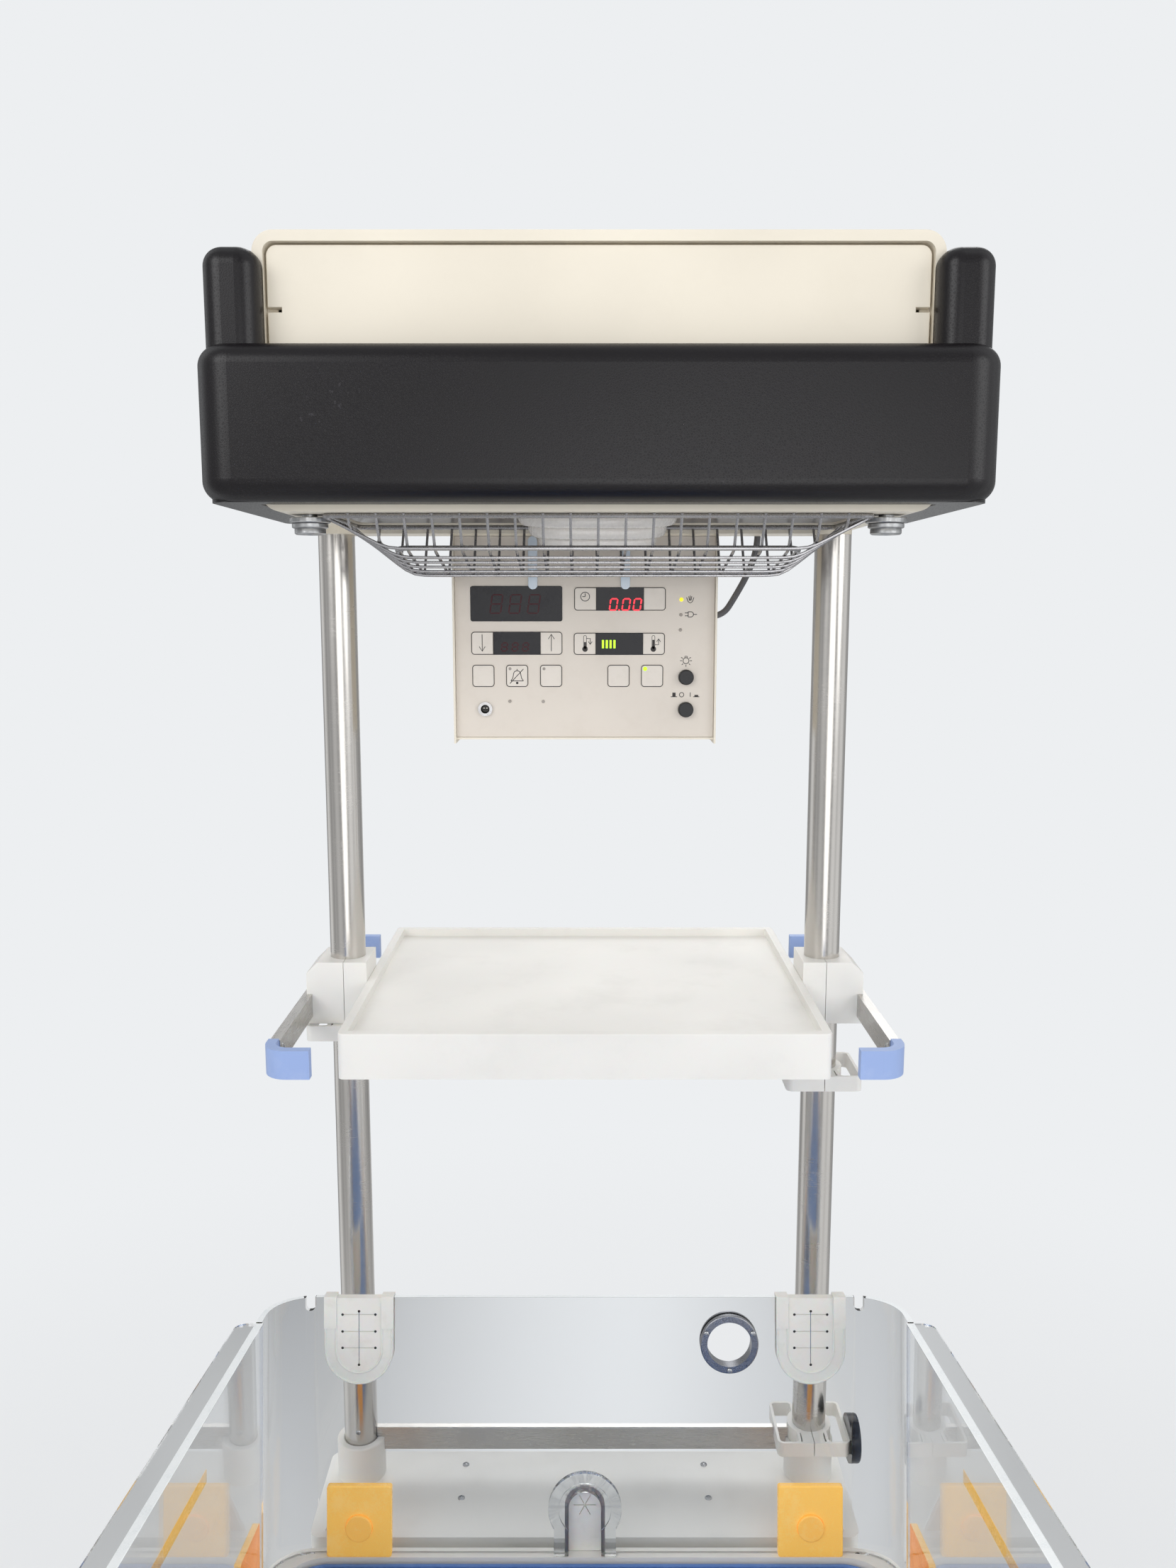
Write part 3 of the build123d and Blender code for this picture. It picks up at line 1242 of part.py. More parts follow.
for name, (face, offset) in walls.items():
    foot = panel_lift if name in hinged else -rim_drop
    outwards = Axis((0, 0, 0), face.z_dir)
    with BuildPart() as latches:
        for place in (-offset, offset):
            with BuildSketch(spot(face, UP, place, (latch_rise + foot) / 2, 0)):
                RectangleRounded(latch_width, latch_rise - foot, latch_round)
            extrude(amount=latch_wall)
            fillet(latches.faces(Select.LAST).sort_by(outwards)[-1].edges(), radius=latch_round / 2)
            if name in hinged:
                with BuildSketch(spot(face, ASIDE, place, 0, 0)):
                    with BuildLine():
                        Polyline(
                            (latch_knee, latch_wall - latch_lip), (-hinge_drop, hinge_out + knuckle_radius),
                            (-hinge_drop, hinge_out), (panel_lift, hinge_out / 2), (latch_knee, 0),
                            (latch_knee, latch_wall - latch_lip),
                        )
                    make_face()
                    with Locations((-hinge_drop, hinge_out)):
                        Circle(knuckle_radius)
                        Circle(hinge_pin_radius + run_gap, mode=Mode.SUBTRACT)
                extrude(amount=knuckle_length / 2, both=True)
            with BuildSketch(spot(face, UP, place, latch_button_z, 0)):
                Circle(latch_button_radius + button_shoulder + seat_gap)
            extrude(amount=latch_wall - latch_lip, mode=Mode.SUBTRACT)
            with BuildSketch(spot(face, UP, place, latch_button_z, 0)):
                Circle(latch_button_radius + seat_gap)
            extrude(amount=latch_wall, mode=Mode.SUBTRACT)
    pieces["latches_" + name] = latches

    with BuildPart() as buttons:
        for place in (-offset, offset):
            with BuildSketch(spot(face, UP, place, latch_button_z, button_seat)):
                Circle(latch_button_radius)
            extrude(amount=latch_wall + button_proud - button_seat)
            fillet(buttons.faces(Select.LAST).sort_by(outwards)[-1].edges(), radius=latch_round / 2)
            with BuildSketch(spot(face, UP, place, latch_button_z, button_seat)):
                Circle(latch_button_radius + button_shoulder)
            extrude(amount=button_flange)
    pieces["latch_buttons_" + name] = buttons

for family in ("panel", "latches", "latch_buttons"):
    with BuildPart() as twin:
        mirror(pieces[family + "_right"].part, about=middle)
    pieces[family + "_left"] = twin

for name, piece in pieces.items():
    piece.part.label = name
    export_step(piece.part, "parts/" + name + ".step")
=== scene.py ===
"""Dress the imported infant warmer: finishes for its CAD nodes, and the finer pieces that lie over them."""

from __future__ import annotations

import logging
from dataclasses import dataclass, field
from enum import Enum
from math import cos, pi, radians, sin
from typing import Sequence

import bmesh
import bpy
import numpy as np
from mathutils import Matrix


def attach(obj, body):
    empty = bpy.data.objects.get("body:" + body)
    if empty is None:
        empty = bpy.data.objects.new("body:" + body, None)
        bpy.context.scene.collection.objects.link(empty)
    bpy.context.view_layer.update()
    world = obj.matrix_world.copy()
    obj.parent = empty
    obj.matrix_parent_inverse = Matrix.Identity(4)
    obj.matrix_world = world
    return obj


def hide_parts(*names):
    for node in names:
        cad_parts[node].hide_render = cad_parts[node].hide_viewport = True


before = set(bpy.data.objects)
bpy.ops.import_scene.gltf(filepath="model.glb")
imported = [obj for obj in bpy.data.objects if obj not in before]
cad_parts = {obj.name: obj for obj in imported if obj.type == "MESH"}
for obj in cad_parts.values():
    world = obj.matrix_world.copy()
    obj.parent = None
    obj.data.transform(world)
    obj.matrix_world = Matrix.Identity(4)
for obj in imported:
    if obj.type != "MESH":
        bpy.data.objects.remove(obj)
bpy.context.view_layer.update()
MM = 0.001
log = logging.getLogger("warmer")
Array = np.ndarray
Value = float | tuple | str


# ---------------------------------------------------------------- places


class Facing(Enum):
    """Which way a face looks: its own right, up and outward directions in its datum's axes."""

    UP = ((1, 0, 0), (0, 1, 0), (0, 0, 1))
    DOWN = ((1, 0, 0), (0, -1, 0), (0, 0, -1))
    AHEAD = ((1, 0, 0), (0, 0, 1), (0, -1, 0))
    BEHIND = ((-1, 0, 0), (0, 0, 1), (0, 1, 0))
    RIGHT = ((0, 1, 0), (0, 0, 1), (1, 0, 0))
    LEFT = ((0, -1, 0), (0, 0, 1), (-1, 0, 0))

    @staticmethod
    def outwards(hand: int) -> Facing:
        """Give the way that the side at the hand -1 (left) or 1 (right) looks."""
        return Facing.RIGHT if hand > 0 else Facing.LEFT


@dataclass(frozen=True)
class Datum:
    """A place with its own axes, from which a sub-assembly's sizes are measured in millimetres."""

    origin: tuple[float, float, float]
    axes: tuple = Facing.UP.value

    def world(self, points: Array) -> Array:
        """Turn points in this datum's millimetres into the object's metres.

        Args:
            points: Rows of x, y, z in millimetres along the datum's axes.

        Returns:
            The same rows in metres: origin plus each coordinate times its axis.
        """
        return (np.asarray(self.origin) + np.asarray(points, float) @ np.asarray(self.axes, float)) * MM

    def seen(self, facing: Facing, x: float, y: float, z: float) -> Datum:
        """Give the datum of a face.

        Args:
            facing: The way that the face looks.
            x, y, z: Its place in this datum's axes, in millimetres.

        Returns:
            A datum whose third axis points out of the face.
        """
        origin = np.asarray(self.origin) + np.array([x, y, z]) @ np.asarray(self.axes, float)
        axes = np.asarray(facing.value, float) @ np.asarray(self.axes, float)
        return Datum(tuple(origin), tuple(map(tuple, axes)))

    def tipped(self, degrees: float) -> Datum:
        """Tip this datum about its own x axis.

        Args:
            degrees: How far its front dips.

        Returns:
            A datum at the same place whose y and z axes are turned by that angle.
        """
        c, s = cos(radians(degrees)), sin(radians(degrees))
        turn = np.array(((1, 0, 0), (0, c, -s), (0, s, c)))
        return Datum(self.origin, tuple(map(tuple, turn @ np.asarray(self.axes, float))))


MAST_Y = 358.0566
FLOOR = Datum((0, 0, 0))
DECK = Datum((0, MAST_Y, 830))
BED = Datum((0, MAST_Y - 129, 830)).tipped(8.25)
HOOD = Datum((12, MAST_Y, 1913))
BOX = Datum((0, MAST_Y - 20, 1692))


# ---------------------------------------------------------------- surfaces


@dataclass
class Skin:
    """The points and four-cornered faces of a surface, in metres."""

    points: Array
    faces: Array

    @staticmethod
    def grid(points: Array, wrap: bool = True) -> Skin:
        """Lay faces over a grid of points.

        Args:
            points: Rows by columns by 3, in metres.
            wrap: Whether the last column joins the first.

        Returns:
            The surface whose cells join (i, j), (i, j + 1), (i + 1, j + 1) and (i + 1, j).
        """
        rows, columns = points.shape[:2]
        i = np.arange(rows - 1)[:, None]
        j = np.arange(columns if wrap else columns - 1)[None, :]
        k = (j + 1) % columns
        corners = (i * columns + j, i * columns + k, (i + 1) * columns + k, (i + 1) * columns + j)
        faces = np.stack([np.broadcast_to(c, (rows - 1, j.size)) for c in corners], -1)
        return Skin(points.reshape(-1, 3), faces.reshape(-1, 4))

    @staticmethod
    def placed(seat: Datum, grids: Sequence[Array], wrap: bool = True) -> Skin:
        """Lay one surface over several grids of points, given in a datum's millimetres."""
        return Skin.join([Skin.grid(seat.world(grid), wrap) for grid in grids])

    @staticmethod
    def join(skins: Sequence[Skin]) -> Skin:
        """Put several surfaces into one, each one's faces counted on from the points before it.

        Args:
            skins: The surfaces, in order.

        Returns:
            One surface with all their points and faces.
        """
        starts = np.cumsum([0] + [len(s.points) for s in skins[:-1]])
        faces = [s.faces + start for s, start in zip(skins, starts)]
        return Skin(np.vstack([s.points for s in skins]), np.vstack(faces))


def rounded(half_x: float | Array, half_y: float | Array, radius: float | Array, count: int = 64) -> Array:
    """Outline a rounded rectangle: each corner's centre plus the radius times (cos, sin) of the angle.

    Args:
        half_x, half_y: Half its width and height; a column of values gives one outline a row.
        radius: The corner radius, as one value or a column.
        count: Points round it, a multiple of four.

    Returns:
        Points (..., count, 2), anticlockwise.
    """
    angle = (np.arange(count) + 0.5) * 2 * pi / count
    way = np.stack([np.cos(angle), np.sin(angle)], -1)
    half_x, half_y, radius = (np.asarray(v, float)[..., None] for v in (half_x, half_y, radius))
    reach = np.stack(np.broadcast_arrays(half_x - radius, half_y - radius), -1)
    return np.sign(way) * reach + way * radius[..., None]


def carried(half_x: float, half_y: float, radius: float, profile: Array, count: int = 64) -> Array:
    """Carry a profile round a rounded rectangle and close it at both ends.

    Each profile point (inset, height) gives the outline shrunk by the inset at that height. The first and
    last rings shrink to a line along the middle.

    Args:
        half_x, half_y, radius: The outline.
        profile: Rows of inset and height in millimetres.
        count: Points round the outline.

    Returns:
        A grid of points, rows along the profile.
    """
    inset, height = np.asarray(profile, float).T
    corner = np.clip(radius - inset, 0.01, None)
    ring = rounded(half_x - inset, half_y - inset, corner, count)
    ring = np.concatenate([ring, np.broadcast_to(height[:, None, None], ring.shape[:2] + (1,))], -1)
    narrow = min(half_x, half_y)
    middle = np.clip(np.abs(ring[:1, :, :2]) - narrow, 0, None) * np.sign(ring[:1, :, :2])
    ends = [np.concatenate([middle, np.full(middle.shape[:2] + (1,), h)], -1) for h in height[[0, -1]]]
    return np.vstack([ends[0], ring, ends[1]])


def spun(profile: Sequence[tuple[float, float]], count: int = 48) -> Array:
    """Spin a profile about the datum's third axis: x = r cos t, y = r sin t, z = h.

    Args:
        profile: Rows of radius and height in millimetres.
        count: Points round it.

    Returns:
        A grid of points, one ring a row.
    """
    radius, height = np.asarray(profile, float).T
    angle = np.arange(count) * 2 * pi / count
    return np.stack([np.outer(radius, np.cos(angle)), np.outer(radius, np.sin(angle)),
                     np.outer(height, np.ones(count))], -1)


def piped(path: Array, radius: float, across: Sequence[float], sides: int = 8, loop: bool = False) -> Array:
    """Run a round bar along a path.

    A ring's point is path + radius * (cos t * side + sin t * across'), where side is the path's direction
    crossed with a direction across it, and across' is at right angles to both.

    Args:
        path: Points (n, 3) along the middle of the bar.
        radius: The bar's radius.
        across: A direction that the path never runs along.
        sides: Faces round the bar.
        loop: Whether the path ends where it starts; otherwise its ends are closed.

    Returns:
        A grid of points, one ring a row.
    """
    path = np.asarray(path, float)
    if loop:
        path = np.vstack([path, path[:1]])
        step = np.roll(path[:-1], -1, 0) - np.roll(path[:-1], 1, 0)
        step = np.vstack([step, step[:1]])
    else:
        step = np.gradient(path, axis=0)
    step /= np.linalg.norm(step, axis=1, keepdims=True)
    side = np.cross(step, np.asarray(across, float))
    side /= np.linalg.norm(side, axis=1, keepdims=True)
    rise = np.cross(side, step)
    angle = np.arange(sides) * 2 * pi / sides
    ring = np.cos(angle)[None, :, None] * side[:, None] + np.sin(angle)[None, :, None] * rise[:, None]
    points = path[:, None] + radius * ring
    if loop:
        return points
    ends = [np.repeat(path[k][None, None], sides, 1) for k in (0, -1)]
    return np.vstack([ends[0], points, ends[1]])


def ribbon(path: Array, width: float, height: float = 0.0) -> Array:
    """Lay a flat stroke along a path: each point moved half the width to both sides, square to the run.

    Args:
        path: Points (n, 2) of the stroke's middle.
        width: The stroke's width.
        height: How far it stands off its face.

    Returns:
        A grid of points of two columns.
    """
    path = np.asarray(path, float)
    step = np.gradient(path, axis=0)
    step /= np.linalg.norm(step, axis=1, keepdims=True) + 1e-9
    side = np.stack([-step[:, 1], step[:, 0]], -1) * width / 2
    flat = np.stack([path - side, path + side], 1)
    return np.concatenate([flat, np.full(flat.shape[:2] + (1,), height)], -1)


def arc(x: float, y: float, radius: float, start: float = 0, end: float = 360, count: int = 33) -> Array:
    """Give points on a circle's arc between two angles in degrees."""
    angle = np.radians(np.linspace(start, end, count))
    return np.stack([x + radius * np.cos(angle), y + radius * np.sin(angle)], -1)


# ---------------------------------------------------------------- finishes

# How much rougher a marked place is, how strongly the grain tilts the light, and how deep it scatters (m)
MARK_ROUGHNESS = 0.12
GRAIN_STRENGTH = 0.6
SCATTER_DEPTH = 0.004


def linear(colour: str) -> tuple[float, float, float, float]:
    """Turn an sRGB hex colour into the linear values that a shader works in.

    Args:
        colour: The colour as it looks, such as "#EEE6D6".

    Returns:
        Red, green and blue by the sRGB curve, and an alpha of 1.
    """
    value = np.array([int(colour[k:k + 2], 16) for k in (1, 3, 5)]) / 255
    value = np.where(value <= 0.04045, value / 12.92, ((value + 0.055) / 1.055) ** 2.4)
    return (*map(float, value), 1.0)


def per_metre(size: float) -> float:
    """Give the texture scale that repeats a pattern every so many millimetres."""
    return 1 / (size * MM)


def add_node(tree: bpy.types.NodeTree, kind: str, sockets: dict | None = None,
             **settings: Value) -> bpy.types.Node:
    """Add a node, set it up and link it.

    Args:
        tree: The material's nodes.
        kind: The node's type name.
        sockets: Input names or numbers with a value, or with the output socket to link.
        **settings: The node's own properties.

    Returns:
        The node.
    """
    node = tree.nodes.new(kind)
    for name, value in settings.items():
        setattr(node, name, value)
    for key, value in (sockets or {}).items():
        if isinstance(value, bpy.types.NodeSocket):
            tree.links.new(value, node.inputs[key])
        else:
            node.inputs[key].default_value = value
    return node


@dataclass(frozen=True)
class Finish:
    """A surface with a colour that drifts, a grain that stands up, and gloss that wears unevenly.

    Colour, roughness and height each come from noise on Object coordinates. The marks have a colour, a
    share of the surface that they tint, and a size in millimetres. The gloss is the range of the roughness,
    and the grain has a size and a height in millimetres, drawn out where it is stretched.
    """

    name: str
    slot: str
    colour: str
    mark: str = "#8A867F"
    marks: float = 0.1
    mark_size: float = 60.0
    gloss: tuple[float, float] = (0.35, 0.5)
    grain: float = 1.0
    height: float = 0.02
    stretch: tuple[float, float, float] = (1.0, 1.0, 1.0)
    metallic: float = 0.0
    ior: float = 1.5
    coat: float = 0.0
    clear: float = 0.0
    glow: float = 0.0
    soft: float = 0.0
    sheen: float = 0.0

    def pattern(self, tree: bpy.types.NodeTree, place: bpy.types.NodeSocket) -> bpy.types.NodeSocket:
        """Give the height of the grain: fractal noise, as on paint and moulded plastic."""
        return add_node(tree, "ShaderNodeTexNoise", {
            "Vector": place, "Scale": per_metre(self.grain), "Detail": 3.0, "Roughness": 0.6}).outputs[0]

    def wear(self, tree: bpy.types.NodeTree, place: bpy.types.NodeSocket) -> bpy.types.NodeSocket:
        """Give where the surface is marked: the peaks of slow noise broken up by quick noise.

        Args:
            tree: The material's nodes.
            place: The socket with the place on the surface.

        Returns:
            The socket with 0 where it is clean and 1 where it is marked.
        """
        slow = add_node(tree, "ShaderNodeTexNoise", {
            "Vector": place, "Scale": per_metre(self.mark_size), "Detail": 6.0, "Roughness": 0.7})
        return add_node(tree, "ShaderNodeMapRange", {
            "Value": slow.outputs[0], "From Min": 0.5, "From Max": 0.78}).outputs[0]

    def material(self) -> bpy.types.Material:
        """Build the material, or give it back if it is built already.

        Returns:
            A material with one Principled shader whose colour, roughness and normal are worked out.
        """
        found = bpy.data.materials.get(self.name)
        if found:
            return found
        made = bpy.data.materials.new(self.name)
        made.use_nodes = True
        made.diffuse_color = linear(self.colour)
        tree = made.node_tree
        shader = tree.nodes["Principled BSDF"]
        place = add_node(tree, "ShaderNodeTexCoord").outputs["Object"]
        along = add_node(tree, "ShaderNodeMapping", {"Vector": place, "Scale": self.stretch}).outputs[0]
        grain, wear = self.pattern(tree, along), self.wear(tree, place)
        share = add_node(tree, "ShaderNodeMath", {0: wear, 1: self.marks}, operation="MULTIPLY").outputs[0]
        colour = add_node(tree, "ShaderNodeMix", {
            0: share, 6: linear(self.colour), 7: linear(self.mark)}, data_type="RGBA").outputs[2]
        rough = add_node(tree, "ShaderNodeMapRange", {
            "Value": grain, "From Min": 0.3, "From Max": 0.7,
            "To Min": self.gloss[0], "To Max": self.gloss[1]})
        worn = add_node(tree, "ShaderNodeMath", {
            0: wear, 1: MARK_ROUGHNESS, 2: rough.outputs[0]}, operation="MULTIPLY_ADD")
        bump = add_node(tree, "ShaderNodeBump", {
            "Height": grain, "Strength": GRAIN_STRENGTH, "Distance": self.height * MM})
        tree.links.new(self.tint(tree, place, colour), shader.inputs["Base Color"])
        tree.links.new(worn.outputs[0], shader.inputs["Roughness"])
        tree.links.new(bump.outputs[0], shader.inputs["Normal"])
        for socket, value in (("Metallic", self.metallic), ("Coat Weight", self.coat), ("IOR", self.ior),
                              ("Transmission Weight", self.clear), ("Subsurface Weight", self.soft),
                              ("Sheen Weight", self.sheen), ("Emission Strength", self.glow)):
            shader.inputs[socket].default_value = value
        shader.inputs["Emission Color"].default_value = linear(self.colour)
        shader.inputs["Subsurface Scale"].default_value = SCATTER_DEPTH
        return made

    def tint(self, tree: bpy.types.NodeTree, place: bpy.types.NodeSocket,
             colour: bpy.types.NodeSocket) -> bpy.types.NodeSocket:
        """Give the colour with a slow drift of a few parts in a hundred over a hand's width.

        Args:
            tree: The material's nodes.
            place: The socket with the place on the surface.
            colour: The socket with the colour.

        Returns:
            The socket with the drifting colour.
        """
        drift = add_node(tree, "ShaderNodeTexNoise", {
            "Vector": place, "Scale": per_metre(140), "Detail": 1.0})
        value = add_node(tree, "ShaderNodeMapRange", {
            "Value": drift.outputs[0], "From Min": 0.3, "From Max": 0.7, "To Min": 0.95, "To Max": 1.03})
        return add_node(tree, "ShaderNodeHueSaturation", {
            "Value": value.outputs[0], "Color": colour}).outputs[0]


@dataclass(frozen=True)
class Leathered(Finish):
    """A skin with a leather grain: creases between cells, as on coated cloth and skinned foam."""

    def pattern(self, tree: bpy.types.NodeTree, place: bpy.types.NodeSocket) -> bpy.types.NodeSocket:
        """Give the distance to the cell edges, bent by noise so that no crease is straight.

        Args:
            tree: The material's nodes.
            place: The socket with the place on the surface.

        Returns:
            The socket with the grain's height, low in the creases.
        """
        bend = add_node(tree, "ShaderNodeTexNoise", {"Vector": place, "Scale": per_metre(self.grain * 3)})
        moved = add_node(tree, "ShaderNodeMix", {
            0: 0.0006, 4: place, 5: bend.outputs[1]}, data_type="VECTOR")
        cells = add_node(tree, "ShaderNodeTexVoronoi", {
            "Vector": moved.outputs[1], "Scale": per_metre(self.grain)}, feature="DISTANCE_TO_EDGE")
        return add_node(tree, "ShaderNodeMapRange", {
            "Value": cells.outputs[0], "From Max": 0.35, "To Min": 0.3, "To Max": 0.7}).outputs[0]


@dataclass(frozen=True)
class Scuffed(Finish):
    """A surface with cloudy patches and fine straight scratches in four slants, as on wiped acrylic."""

    def wear(self, tree: bpy.types.NodeTree, place: bpy.types.NodeSocket) -> bpy.types.NodeSocket:
        """Give the scratches: noise drawn out thirty times along a line, in four slants, over clouds.

        Args:
            tree: The material's nodes.
            place: The socket with the place on the surface.

        Returns:
            The socket with 0 where it is clear and 1 where it is scratched.
        """
        patch = add_node(tree, "ShaderNodeTexNoise", {
            "Vector": place, "Scale": per_metre(self.mark_size * 2), "Detail": 2.0}).outputs[0]
        total = add_node(tree, "ShaderNodeMapRange", {
            "Value": patch, "From Min": 0.4, "From Max": 0.8, "To Min": 0.1, "To Max": 0.5}).outputs[0]
        for slant, thin in ((0.55, 0.685), (-0.4, 0.69), (1.15, 0.7), (-0.95, 0.71)):
            turned = add_node(tree, "ShaderNodeMapping", {
                "Vector": place, "Rotation": (slant, slant, 0.3 * slant), "Scale": (0.03, 0.03, 1.0)})
            line = add_node(tree, "ShaderNodeTexNoise", {
                "Vector": turned.outputs[0], "Scale": per_metre(self.mark_size / 12), "Detail": 4.0})
            cut = add_node(tree, "ShaderNodeMapRange", {
                "Value": line.outputs[0], "From Min": thin, "From Max": thin + 0.05, "To Max": 0.6})
            total = add_node(tree, "ShaderNodeMath", {
                0: total, 1: cut.outputs[0]}, operation="ADD").outputs[0]
        return add_node(tree, "ShaderNodeMapRange", {
            "Value": total, "From Min": 0.35, "From Max": 1.0}).outputs[0]

    def tint(self, tree: bpy.types.NodeTree, place: bpy.types.NodeSocket,
             colour: bpy.types.NodeSocket) -> bpy.types.NodeSocket:
        """Give the colour as it is: cast acrylic is as clear here as there."""
        return colour


@dataclass(frozen=True)
class Rubbed(Leathered):
    """A leathery skin with small pale knocks in clusters, where it has been bumped and rubbed."""

    def wear(self, tree: bpy.types.NodeTree, place: bpy.types.NodeSocket) -> bpy.types.NodeSocket:
        """Give the knocks: specks of quick noise, let through where slow noise is high.

        Args:
            tree: The material's nodes.
            place: The socket with the place on the surface.

        Returns:
            The socket with 0 where it is whole and 1 where it is knocked.
        """
        patch = add_node(tree, "ShaderNodeTexNoise", {
            "Vector": place, "Scale": per_metre(self.mark_size * 7), "Detail": 2.0}).outputs[0]
        speck = add_node(tree, "ShaderNodeTexNoise", {
            "Vector": place, "Scale": per_metre(self.mark_size / 3), "Detail": 5.0,
            "Roughness": 0.7}).outputs[0]
        total = add_node(tree, "ShaderNodeMath", {0: patch, 1: speck}, operation="ADD").outputs[0]
        return add_node(tree, "ShaderNodeMapRange", {
            "Value": total, "From Min": 1.3, "From Max": 1.5}).outputs[0]


# Powder-coated sheet steel, oven-baked: cream, with a faint orange peel and a soft shine
CREAM = Finish(
    "cream_powder_coat", "cream_paint", "#EEE6D6", mark="#C9BEA8", marks=0.06, mark_size=60,
    gloss=(0.34, 0.48), grain=1.6, height=0.05,
)
# The same coating in white on the deck and the outer lift column, greyer where it is wiped
WHITE_COAT = Finish(
    "white_powder_coat", "white_paint", "#F3F2EE", mark="#B9B5AC", marks=0.12, mark_size=45,
    gloss=(0.34, 0.5), grain=1.6, height=0.05,
)
# Injection-moulded ABS with a fine spark-eroded grain, as on the shelf, the sockets and the clamps
WHITE_ABS = Finish(
    "white_moulded_abs", "white_plastic", "#F1EFEA", mark="#B9B7B3", marks=0.10, mark_size=60,
    gloss=(0.4, 0.55), grain=0.9, height=0.03, soft=0.05,
)
# Periwinkle nylon caps on the rail ends, lighter where they are knocked
BLUE_NYLON = Finish(
    "periwinkle_nylon", "blue_cap", "#9DB4E4", mark="#CCD7F0", marks=0.3, mark_size=25, gloss=(0.38, 0.5),
    grain=0.9, height=0.04,
)
# Ground stainless tube: fine lines round it, long upright highlights and a few rubbed places
GROUND_STEEL = Finish(
    "ground_stainless_tube", "stainless", "#CFCBC6", mark="#ABA7A2", marks=0.1, mark_size=70,
    gloss=(0.18, 0.25), grain=0.8, height=0.0015, stretch=(0.05, 0.05, 1.0), metallic=1.0,
)
# Brushed stainless flat bar, its grain along the bar
BRUSHED_X = Finish(
    "brushed_stainless_bar", "stainless", "#C6C3BF", mark="#9A9794", marks=0.2, mark_size=60,
    gloss=(0.22, 0.36), grain=0.7, height=0.004, stretch=(0.03, 1.0, 1.0), metallic=1.0,
)
BRUSHED_Y = Finish(
    "brushed_stainless_rail", "stainless", "#C6C3BF", mark="#9A9794", marks=0.2, mark_size=60,
    gloss=(0.22, 0.36), grain=0.7, height=0.004, stretch=(1.0, 0.03, 1.0), metallic=1.0,
)
# Zinc-plated pressed steel of forks, screws and knobs, with a cloudy bloom
ZINC = Finish(
    "zinc_plated_steel", "stainless", "#B9BABB", mark="#7D7C78", marks=0.4, mark_size=14, gloss=(0.28, 0.5),
    grain=1.5, height=0.02, metallic=1.0,
)
# Nickel-plated welded wire, grey and slightly smeared
NICKEL_WIRE = Finish(
    "nickel_plated_wire", "chrome_wire", "#A3A2A4", mark="#716E6D", marks=0.3, mark_size=20,
    gloss=(0.18, 0.34), grain=1.0, height=0.01, metallic=1.0,
)
# Turned and polished steel of the port's ring, darker than the wire
TURNED_RING = Finish(
    "turned_steel_ring", "chrome_wire", "#96979B", mark="#6C6C70", marks=0.3, mark_size=15,
    gloss=(0.22, 0.34), grain=0.8, height=0.008, metallic=1.0,
)
# Bright chrome of the sensor socket's sleeve
SOCKET_CHROME = Finish(
    "chromed_socket_sleeve", "chrome_wire", "#A9A8A8", mark="#858483", marks=0.3, mark_size=8,
    gloss=(0.14, 0.26), grain=0.6, height=0.006, metallic=1.0,
)
# Anodised aluminium reflector sheet, satin grey with rolling lines
REFLECTOR = Finish(
    "anodised_reflector", "reflector_metal", "#A5A3A2", mark="#6E6A68", marks=0.3, mark_size=40,
    gloss=(0.25, 0.4), grain=0.7, height=0.01, stretch=(0.03, 1.0, 1.0), metallic=1.0,
)
# Glazed stoneware heater, off-white and a little browned by heat
CERAMIC = Finish(
    "glazed_heater_ceramic", "ceramic_white", "#F3EFEA", mark="#C4B3A2", marks=0.25, mark_size=35,
    gloss=(0.18, 0.34), grain=3.0, height=0.12, coat=0.4,
)
# Hard clear glass of the lamp front and bulb
LAMP_GLASS = Finish(
    "lamp_glass", "lamp_glass", "#F4F6F8", mark="#E8E8E8", marks=0.2, mark_size=20, gloss=(0.02, 0.12),
    grain=4.0, height=0.2, ior=1.5, clear=1.0,
)
# Self-skinned polyurethane foam of the bumper: black, leathery, with pale knocks where it is bumped
FOAM_SKIN = Rubbed(
    "skinned_foam", "foam_black", "#141114", mark="#6C696F", marks=0.42, mark_size=22, gloss=(0.28, 0.42),
    grain=2.2, height=0.10, ior=1.4,
)
# Black phenolic and nylon mouldings: buttons, brake pedals and knobs
BLACK_MOULDED = Finish(
    "black_moulded_nylon", "black_plastic", "#0F0F13", mark="#3A393C", marks=0.25, mark_size=12,
    gloss=(0.16, 0.28), grain=0.9, height=0.03, ior=1.38,
)
# Polyester keyboard foil over the control plate, warm grey-beige and satin
PANEL_FOIL = Finish(
    "beige_printed_foil", "white_plastic", "#E2D9CE", mark="#C8BCAF", marks=0.2, mark_size=50,
    gloss=(0.36, 0.46), grain=0.7, height=0.015,
)
# Domed keys of the same foil, a shade lighter
KEY_FOIL = Finish(
    "key_foil", "white_plastic", "#E6DED4", mark="#C6BAAD", marks=0.2, mark_size=12, gloss=(0.34, 0.44),
    grain=0.7, height=0.015,
)
# Screen-printed lines and signs, nearly black brown; also the dark discs of painted shade at the ports'
# slit ends
PRINT_INK_AND_SHADE = Finish(
    "screen_print_ink_and_painted_shade", "black_plastic", "#2E2928", mark="#453E3B", marks=0.3, mark_size=8,
    gloss=(0.45, 0.6), grain=0.6, height=0.01,
)
# Dark insulating insert of the sensor socket, with its tinned contacts
INSERT = Finish(
    "moulded_socket_insert", "black_plastic", "#1A1712", mark="#3A3328", marks=0.3, mark_size=3,
    gloss=(0.3, 0.45), grain=0.5, height=0.01,
)
CONTACT = Finish(
    "tinned_contact", "chrome_wire", "#E3E0D8", mark="#B5B0A5", marks=0.3, mark_size=2, gloss=(0.2, 0.35),
    grain=0.5, height=0.003, metallic=1.0,
)
